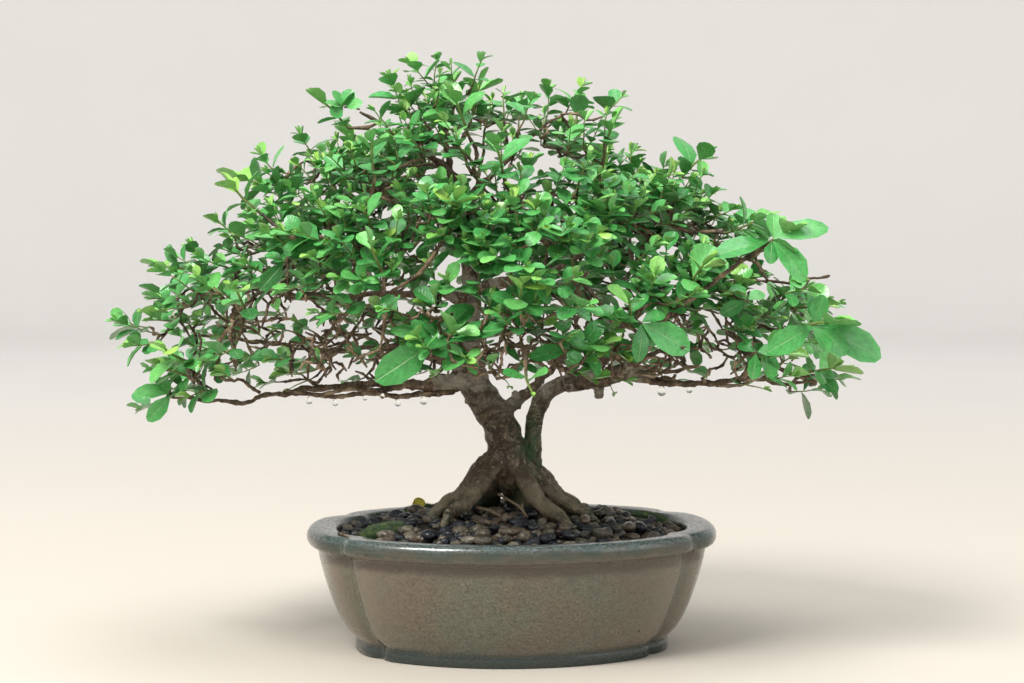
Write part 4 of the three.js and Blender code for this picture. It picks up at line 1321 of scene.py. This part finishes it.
def makeTwigs():
    draw = seededDraws(611)
    routes = [crook(route, 6.5, 0.7, draw) for route in coarseRoutes]
    routes += [crook(route, 4.6, 0.6, draw) for route in fineRoutes]
    routes += [crook(np.array(route, dtype=float), 6, 0.8, draw) for route in lowTwigs]
    for side, sign in (("Left", -1), ("Right", 1)):
        kept = [route for route in routes if (route[-1][0] >= 0) == (sign > 0)]
        lines = splineObject("twigLines", kept)
        body = runNodes("twigs" + side, lines, branchTubes, {"Sides": 5, "Material": twigBark})
        settle(body, "bark", "wood")
    green = {"Sides": 6, "Greenness": 1.0, "Material": twigBark}
    body = runNodes("greenStems", splineObject("stemLines", stems), branchTubes, green)
    settle(body, "leaf", "wood")


makeTwigs()
print("twigs made")

# Leaf shapes: unit length along X, unit width along Y, upper face to +Z
leafForm = {
    "along": [0.14, 0.42, 0.72, 0.93], "half": [0.17, 0.47, 0.475, 0.25], "thickness": 0.03,
    "shapes": [
        {"arch": 0.10, "cup": 0.10, "droop": 0.02, "twist": 0.0},
        {"arch": 0.22, "cup": 0.16, "droop": 0.10, "twist": 0.1},
        {"arch": 0.06, "cup": 0.30, "droop": 0.0, "twist": -0.1},
        {"arch": 0.30, "cup": -0.10, "droop": 0.16, "twist": 0.05},
        {"arch": 0.02, "cup": 0.55, "droop": -0.06, "twist": 0.0},
        {"arch": 0.16, "cup": 0.14, "droop": 0.05, "twist": 0.45},
    ],
}


def leafShape(name, shape):
    # four rings of eight points, the upper face's five first, between the leaf's foot and its tip
    def lift(along, sideways):
        arch = shape["arch"] * along * (1 - along) * 4 * 0.3
        return arch - shape["droop"] * along**2 + shape["cup"] * abs(sideways) ** 1.5

    points = [(0, 0, 0)]
    plan = [(0.0, 0.0)]
    for along, half in zip(leafForm["along"], leafForm["half"]):
        turn = shape["twist"] * along
        for share in (-1, -0.5, 0, 0.5, 1, 0.5, 0, -0.5):
            below = len(points) % 8 in (6, 7, 0)
            sideways = share * half
            height = lift(along, sideways)
            if share == 0:
                height -= 0.012
            if below:
                height -= leafForm["thickness"]
            points.append((along, sideways * math.cos(turn) - height * math.sin(turn) * 0.3,
                           height + sideways * math.sin(turn)))
            plan.append((along, share))
    tip = len(points)
    points.append((1.0, 0, lift(1.0, 0)))
    plan.append((1.0, 0.0))
    rings = len(leafForm["along"])
    mesh = meshFrom(name, points, ringFaces(rings, 8, tip))
    unders = [side >= 4 for side in range(8) for _ in range(rings + 1)]
    uvs = mesh.uv_layers.new(name="leafPlan")
    for polygon, isUnder in zip(mesh.polygons, unders):
        for loop in polygon.loop_indices:
            along, share = plan[mesh.loops[loop].vertex_index]
            uvs.data[loop].uv = (along, (0.75 if isUnder else 0.25) + 0.23 * share)
    rim = mesh.attributes.new("sharp_edge", "BOOLEAN", "EDGE")
    for edge in mesh.edges:
        ends = sorted(edge.vertices)
        onRim = all(vertex in (0, tip) or (vertex - 1) % 8 in (0, 4) for vertex in ends)
        sameSide = (ends[1] - ends[0]) % 8 == 0 or ends[0] == 0 or ends[1] == tip
        rim.data[edge.index].value = onRim and sameSide
    return mesh


def scatterTree():
    # puts a shape on every point, with the turn, size and shape number that the point carries
    tree, given, result = geometryTree("scatterOnPoints", {
        "Shapes": ("NodeSocketCollection", None), "Material": ("NodeSocketMaterial", None),
    })
    shapes = addNode(tree, "GeometryNodeCollectionInfo", {
        "Collection": given.outputs["Shapes"], "Separate Children": True, "Reset Children": True,
    })
    turn = addNode(tree, "FunctionNodeEulerToRotation", {0: carriedOf(tree, "turn", "FLOAT_VECTOR")})
    copies = addNode(tree, "GeometryNodeInstanceOnPoints", {
        "Points": given.outputs["Geometry"], "Instance": shapes.outputs[0], "Pick Instance": True,
        "Instance Index": carriedOf(tree, "shape", "INT"), "Scale": carriedOf(tree, "size", "FLOAT_VECTOR"),
        "Rotation": turn.outputs[0],
    })
    real = addNode(tree, "GeometryNodeRealizeInstances", {"Geometry": copies.outputs[0]})
    return finishTree(tree, given, result, real.outputs[0])


scatterOnPoints = scatterTree()


def scatter(name, copies, meshes, material, toneName="tone"):
    # one mesh of all the copies, each in the shape of its number
    shelf = bpy.data.collections.new(name + "Shapes")
    for index, mesh in enumerate(meshes):
        shelf.objects.link(bpy.data.objects.new(f"{name}Shape{index}", mesh))
    cloud = copies.cloud(name + "Seats", toneName)
    body = runNodes(name, cloud, scatterOnPoints, {"Shapes": shelf, "Material": material})
    for thing in list(shelf.objects):
        bpy.data.objects.remove(thing)
    bpy.data.collections.remove(shelf)
    return body


def makeLeaves():
    meshes = [leafShape(f"leafShape{index}", shape) for index, shape in enumerate(leafForm["shapes"])]
    x = np.array(leaves.seats)[:, 0]
    split = {"leavesLeft": x < -70, "leavesMiddle": (x >= -70) & (x <= 60), "leavesRight": x > 60}
    shootNodes = sorted(name for name in frame["nodes"] if name.startswith("shoot_"))
    for name, chosen in split.items():
        settle(scatter(name, leaves.only(chosen), meshes, leafGreen, "tint"), "leaf", *shootNodes)


makeLeaves()
print("leaves made")

# Ground: a bed of soil under loose stones, with moss cushions
ground = {
    "edge": 67.5, "mound": 12, "scale": 0.828, "sink": 2.2, "bedScale": 0.842, "bedBase": 64, "rough": 1.4,
    "roughScale": 0.22,
}
stones = {
    "count": 640, "seed": 41, "small": 2.7, "large": 5.2, "lift": 0.9, "upper": 150, "scale": 0.825,
    "edgeScale": 0.845, "trunkClear": 11, "least": 1.3, "shapes": 5,
}
mossCushions = {
    "moss_front_left": (-76, -25, 13, 8, 4), "moss_right": (84, 14, 11, 8, 4),
    "moss_back_left": (-52, 48, 12, 8, 4.5),
}
tufts = {"count": 420, "reach": 1.05, "small": 1.5, "vary": 1.2, "shapes": 3}


def groundHeight(x, y):
    share = math.hypot(x, y) / (potRadius(math.atan2(y, x)) * ground["scale"])
    return ground["edge"] + ground["mound"] * (1 - share * share)


def moundObject(name, rings, steps, middle, pointAt, baseOf):
    # a closed mound: a middle point, rings out to the edge, then straight down to the base
    points = [middle]
    points += [pointAt(ring / rings, angle) for ring in range(1, rings + 1) for angle in roundAngles(steps)]
    points += [(x, y, baseOf(z)) for x, y, z in points[-steps:]]
    faces = ringFaces(rings + 1, steps)
    faces.append(tuple(range(len(points) - 1, len(points) - 1 - steps, -1)))
    return newObject(name, meshFrom(name, inFrame(points), faces))


def makeBed():
    def pointAt(share, angle):
        reach = potRadius(angle) * ground["bedScale"] * share
        x = reach * math.cos(angle)
        y = reach * math.sin(angle)
        rough = ground["rough"] * noise.noise(Vector((x, y, 0)) * ground["roughScale"])
        return x, y, groundHeight(x, y) - ground["sink"] + rough

    middle = (0, 0, groundHeight(0, 0) - ground["sink"])
    bed = moundObject("soilBed", 26, 120, middle, pointAt, lambda z: ground["bedBase"])
    bed.data.materials.append(darkSoil)
    return settle(bed, "soil", "gravel")


def stoneShape(name, seed):
    bpy.ops.mesh.primitive_ico_sphere_add(subdivisions=2, radius=1)
    ball = bpy.context.object
    mesh = ball.data
    for vertex in mesh.vertices:
        bulge = noise.noise(vertex.co * 0.9 + Vector((seed * 7.1, 0, 0)))
        facet = noise.noise(vertex.co * 2.1 + Vector((0, seed * 5.3, 0)))
        vertex.co = vertex.co * (1 + 0.34 * bulge + 0.12 * facet)
    mesh.shade_smooth()
    kept = mesh.copy()
    kept.name = name
    bpy.data.objects.remove(ball)
    return kept


def rootGap(x, y):
    # how far a place is from the nearest root, at its height
    gap = 99.0
    for root in roots:
        for sample in smoothRoute(root, 4):
            if sample[2] < groundHeight(x, y) + 8:
                gap = min(gap, math.hypot(x - sample[0], y - sample[1]) - sample[3])
    return gap


def looseTurn(draw):
    # nearly level, turned any way round
    return 0.5 * (draw() - 0.5), 0.5 * (draw() - 0.5), draw() * 6.283


def inMoss(x, y):
    return any(math.hypot((x - mossX) / (length + 1), (y - mossY) / (width + 1)) < 1
               for mossX, mossY, length, width, _ in mossCushions.values())


def makeStones():
    # a full layer of stones, then some more on top of it
    draw = seededDraws(stones["seed"])
    pebbles = Copies()
    for index in range(stones["count"] + stones["upper"]):
        upper = index >= stones["count"]
        angle = index * goldenAngle + draw() * 0.4
        share = math.sqrt(draw()) * 0.93 if upper else math.sqrt((index + 0.5) / stones["count"])
        reach = potRadius(angle) * stones["scale"] * min(share, 1.0)
        x = reach * math.cos(angle) + (draw() - 0.5) * 2
        y = reach * math.sin(angle) + (draw() - 0.5) * 2
        if inMoss(x, y) or math.hypot(x - 3, y - 3) < stones["trunkClear"]:
            continue
        gap = rootGap(x, y)
        if gap < 0.5:
            continue
        size = stones["small"] + (stones["large"] - stones["small"]) * draw() ** 1.4
        size = min(size, 1.6 + gap * 0.8)
        lift = stones["lift"] + (2.6 + 1.2 * draw() if upper else 0.9 * draw())
        level = groundHeight(x, y) - ground["sink"] + lift
        edgeRoom = potRadius(math.atan2(y, x)) * stones["edgeScale"] - math.hypot(x, y)
        size = max(stones["least"], min(size, edgeRoom * 0.8))
        turn = looseTurn(draw)
        form = (size * (1 + 0.35 * draw()), size * (0.75 + 0.2 * draw()), size * (0.6 + 0.2 * draw()))
        pebbles.add((x, y, level), turn, form, tone=draw())
    meshes = [stoneShape(f"stoneShape{index}", index) for index in range(stones["shapes"])]
    pebbles.shapes = [int(draw() * stones["shapes"]) for _ in pebbles.seats]
    print("stones:", len(pebbles.seats))
    return settle(scatter("gravelStones", pebbles, meshes, wetStone), "gravel", "gravel")


def mossTuft(name, seed):
    # five short leaning blades, each a slim three-sided spike
    draw = seededDraws(seed)
    points = []
    faces = []
    for blade in range(5):
        turn = blade * 1.256 + draw()
        lean = 0.25 + 0.35 * draw()
        foot = np.array([0.18 * math.cos(turn), 0.18 * math.sin(turn), 0])
        tip = foot + np.array([lean * math.cos(turn), lean * math.sin(turn), 0.8 + 0.4 * draw()])
        first = len(points)
        for corner in range(3):
            angle = turn + corner * 2.094
            points.append(foot + np.array([0.13 * math.cos(angle), 0.13 * math.sin(angle), 0]))
        points.append(tip)
        faces += [(first, first + 1, first + 3), (first + 1, first + 2, first + 3),
                  (first + 2, first, first + 3), (first, first + 2, first + 1)]
    return meshFrom(name, points, faces)


def makeMoss(node, cushion):
    x, y, length, width, height = cushion

    def riseAt(share, px, py):
        dome = height * math.sqrt(max(0, 1 - min(share, 1) ** 2))
        return max(dome + 0.7 * noise.noise(Vector((px, py, 0)) * 0.35), 0)

    def pointAt(share, angle):
        edge = 1 + 0.16 * noise.noise(Vector((math.cos(angle) * 1.4, math.sin(angle) * 1.4, x)))
        px = x + length * share * edge * math.cos(angle)
        py = y + width * share * edge * math.sin(angle)
        return px, py, groundHeight(px, py) - 0.6 + (riseAt(share, px, py) if share < 1 else 0)

    plainName = node.replace("moss_", "moss").replace("_", "")
    middle = (x, y, groundHeight(x, y) + height)
    dome = moundObject(plainName + "Cushion", 10, 36, middle, pointAt, lambda z: z - 1.2)
    dome.data.materials.append(mossGreen)
    settle(dome, "moss", node)
    draw = seededDraws(int(abs(x) * 10))
    blades = Copies()
    for index in range(tufts["count"]):
        share = math.sqrt((index + 0.5) / tufts["count"])
        angle = index * goldenAngle
        px = x + length * share * tufts["reach"] * math.cos(angle)
        py = y + width * share * tufts["reach"] * math.sin(angle)
        turn = looseTurn(draw)
        size = tufts["small"] + tufts["vary"] * draw()
        blades.add((px, py, groundHeight(px, py) - 0.9 + riseAt(share, px, py)), turn, (size, size, size))
    meshes = [mossTuft(f"mossTuft{index}", index + 3) for index in range(tufts["shapes"])]
    blades.shapes = [int(draw() * tufts["shapes"]) for _ in blades.seats]
    blades.tones = [draw() for _ in blades.seats]
    settle(scatter(plainName + "Tufts", blades, meshes, mossGreen), "moss", node)


makeBed()
makeStones()
for node, cushion in mossCushions.items():
    makeMoss(node, cushion)
frame["nodes"]["soil"].material_slots[0].material = darkSoil
for node in ("drain_mesh_left", "drain_mesh_right"):
    frame["nodes"][node].material_slots[0].material = blackNet
print("ground made")


def makeRootlets():
    routes = [gnarl(smoothRoute(route, 1.5), 0.8, 0.2, index * 9.1) for index, route in enumerate(rootlets)]
    lines = splineObject("rootletLines", routes)
    body = runNodes("rootlets", lines, branchTubes, {"Sides": 8, "Material": limbBark})
    addGrain(body)
    return settle(body, "bark", "wood")


makeRootlets()


def makeFallenLeaf():
    # a young yellow leaf that fell on the stones at the back left
    at = np.array((-58, 34, groundHeight(-58, 34) + 4.5))
    turn = Euler((0.9, -0.3, 0.4)).to_matrix()
    mesh = leafShape("fallenLeaf", leafForm["shapes"][2])
    for vertex in mesh.vertices:
        bent = turn @ Vector((vertex.co.x * 9.5, vertex.co.y * 7.5, vertex.co.z * 8))
        vertex.co = Vector(inFrame(at + np.array(bent)))
    yellow, tree, shader = newMaterial("fallenYellow")
    spots = fitRange(tree, noiseOf(tree, placeOf(tree), 900, 2), 0.5, 0.65)
    colour = blendColours(tree, spots, (0.62, 0.56, 0.05), (0.34, 0.22, 0.05))
    tree.links.new(colour, shader.inputs["Base Color"])
    mesh.materials.append(yellow)
    return settle(newObject("fallenLeaf", mesh), "leaf")


def makeDryTwig():
    # a broken twig that lies across the rim at the front left
    route = []
    lying = [(195, 0.885, 0.5), (199, 0.91, 0.8), (203, 0.93, 0.7), (206, 0.96, 0.45)]
    for degrees, share, radius in lying:
        angle = math.radians(degrees)
        reach = potRadius(angle) * share
        route.append((reach * math.cos(angle), reach * math.sin(angle), pot["height"] + 0.3, radius))
    lines = splineObject("dryTwigLine", [smoothRoute(route, 2)])
    body = runNodes("dryTwig", lines, branchTubes, {"Sides": 8, "Material": twigBark})
    return settle(body, "bark")


makeFallenLeaf()
makeDryTwig()
print("loose bits made")

# Water: drops that hang under the low limbs, and beads on the leaves
drops = {
    "hanging": [
        (-118, -7, 148.4, 1.8), (-103, -9, 147.2, 1.7), (-67, -9, 147.2, 1.9), (-52, -8, 148.8, 2.2),
        (85, -22, 155.2, 2.6), (101, -23, 155, 1.9), (-86, -7, 149, 1.3), (-76, -16, 151, 1.4),
    ],
    "beads": 260, "seed": 19,
}


def latheShape(name, profile, steps):
    points = [(0, 0, profile[0][1]), *ringPoints(profile[1:-1], steps), (0, 0, profile[-1][1])]
    return meshFrom(name, points, ringFaces(len(profile) - 2, steps, len(points) - 1))


def dropShape():
    # a hanging drop of unit radius, its neck at the origin
    profile = [(0.0, 0.0), (0.3, -0.12), (0.5, -0.5), (0.8, -1.0), (1.0, -1.6), (0.92, -2.15), (0.6, -2.55),
               (0.0, -2.7)]
    return latheShape("dropShape", profile, 14)


def beadShape():
    profile = [(0.0, 0.55), (0.45, 0.5), (0.8, 0.32), (1.0, 0.0), (0.8, -0.12), (0.0, -0.15)]
    return latheShape("beadShape", profile, 8)


def makeWaterDrops():
    draw = seededDraws(drops["seed"])
    water = Copies()
    for x, y, z, radius in drops["hanging"]:
        water.add((x, y, z), (0, 0, 0), (radius, radius, radius), 1)
    count = len(leaves.seats)
    for _ in range(drops["beads"]):
        index = int(draw() ** 0.5 * count) % count
        length, width, _ = leaves.sizes[index]
        turn = leaves.turns[index]
        axes = np.array(Euler(turn).to_matrix())
        along = 0.3 + 0.45 * draw()
        sideways = (draw() - 0.5) * 0.5
        shape = leafForm["shapes"][leaves.shapes[index]]
        lift = shape["arch"] * along * (1 - along) * 1.2 - shape["droop"] * along**2
        lift += shape["cup"] * abs(sideways) ** 1.5
        seat = leaves.seats[index] + axes @ np.array([along * length, sideways * width, lift * length])
        radius = 0.45 + 0.5 * draw() * (1 if length > 15 else 0.6)
        water.add(seat, turn, (radius, radius, radius))
    body = scatter("waterDrops", water, [beadShape(), dropShape()], clearWater)
    return settle(body, "water")


makeWaterDrops()
print("water made")

# Camera at the photograph's angle, floor, light
eye = {
    "distance": 1.282, "height": 0.264, "turn": -4.5, "tilt": 3.8, "focal": 2200, "frameWidth": 1024,
    "sensor": 36,
}


def makeCamera():
    camera = newObject("camera", bpy.data.cameras.new("camera"))
    turn = math.radians(eye["turn"])
    tilt = math.radians(eye["tilt"])
    x = potMiddle[0] + eye["distance"] * math.sin(turn)
    y = potMiddle[1] - eye["distance"] * math.cos(turn)
    camera.location = (x, y, eye["height"])
    ahead = Vector((-math.sin(turn) * math.cos(tilt), math.cos(turn) * math.cos(tilt), -math.sin(tilt)))
    camera.rotation_mode = "QUATERNION"
    camera.rotation_quaternion = ahead.to_track_quat("-Z", "Y")
    camera.data.sensor_width = eye["sensor"]
    camera.data.lens = eye["sensor"] * eye["focal"] / eye["frameWidth"]
    camera.data.clip_end = 50
    bpy.context.scene.camera = camera


room = {
    "floor": 2.9, "bend": 0.9, "wall": 3.4, "wallColour": (0.84, 0.815, 0.785),
    "floorColour": (0.58, 0.53, 0.46),
    "mottle": (0.5, 0.45, 0.4), "blend": (0.3, 2.6),
}


def makeRoom():
    # a round pale floor that bends up into a wall, far outside every camera, its paper painted lighter
    # further out where the lamps bring less light
    profile = [(0.4, 0.0), (1.2, 0.0), (room["floor"], 0.0)]
    for index in range(1, 13):
        angle = index / 12 * math.pi / 2
        radius = room["floor"] + room["bend"] * math.sin(angle)
        profile.append((radius, room["bend"] * (1 - math.cos(angle))))
    profile.append((room["floor"] + room["bend"], room["wall"]))
    points = [(0, 0, 0), *ringPoints(profile, 96)]
    floor = newObject("paleFloor", meshFrom("paleFloor", points, ringFaces(len(profile), 96)))
    material, tree, shader = newMaterial("palePaper")
    place = placeOf(tree)
    away = addNode(tree, "ShaderNodeVectorMath", {0: place}, operation="LENGTH").outputs["Value"]
    # painted light: the paper runs from darker near the middle, where the lamps shine strongly, to lighter
    # at the bend and wall, where they reach less
    far = fitRange(tree, away, *room["blend"])
    paper = blendColours(tree, far, room["floorColour"], room["wallColour"])
    tone = fitRange(tree, noiseOf(tree, place, 3, 2), 0.3, 0.7, 0.0, 0.04)
    paper = blendColours(tree, tone, paper, room["mottle"])
    setInputs(tree, shader, {"Base Color": paper, "Roughness": 0.7})
    floor.data.materials.append(material)


sky = {"colour": (0.93, 0.96, 1.0, 1), "strength": 0.61}
lamps = {
    "key": {"at": (-1.1, -1.1, 2.0), "size": 0.9, "power": 66, "colour": (1.0, 0.98, 0.95)},
    "top": {"at": (0.2, -0.2, 2.3), "size": 1.8, "power": 31, "colour": (0.95, 0.98, 1.0)},
    "fill": {"at": (1.7, -1.3, 1.1), "size": 1.4, "power": 8, "colour": (0.93, 0.97, 1.0)},
}


def makeLights():
    aim = Vector((0, 0, 0.18))
    for name, lamp in lamps.items():
        data = bpy.data.lights.new(name + "Light", "AREA")
        data.size = lamp["size"]
        data.energy = lamp["power"]
        data.color = lamp["colour"]
        light = newObject(name + "Light", data)
        light.location = lamp["at"]
        light.rotation_mode = "QUATERNION"
        light.rotation_quaternion = (aim - Vector(lamp["at"])).to_track_quat("-Z", "Y")
    world = bpy.data.worlds.new("softSky")
    world.use_nodes = True
    setInputs(world.node_tree, world.node_tree.nodes["Background"], {
        "Color": sky["colour"], "Strength": sky["strength"],
    })
    bpy.context.scene.world = world
    bpy.context.scene.view_settings.view_transform = "Standard"


makeCamera()
makeRoom()
makeLights()
print("camera, floor and lights made")
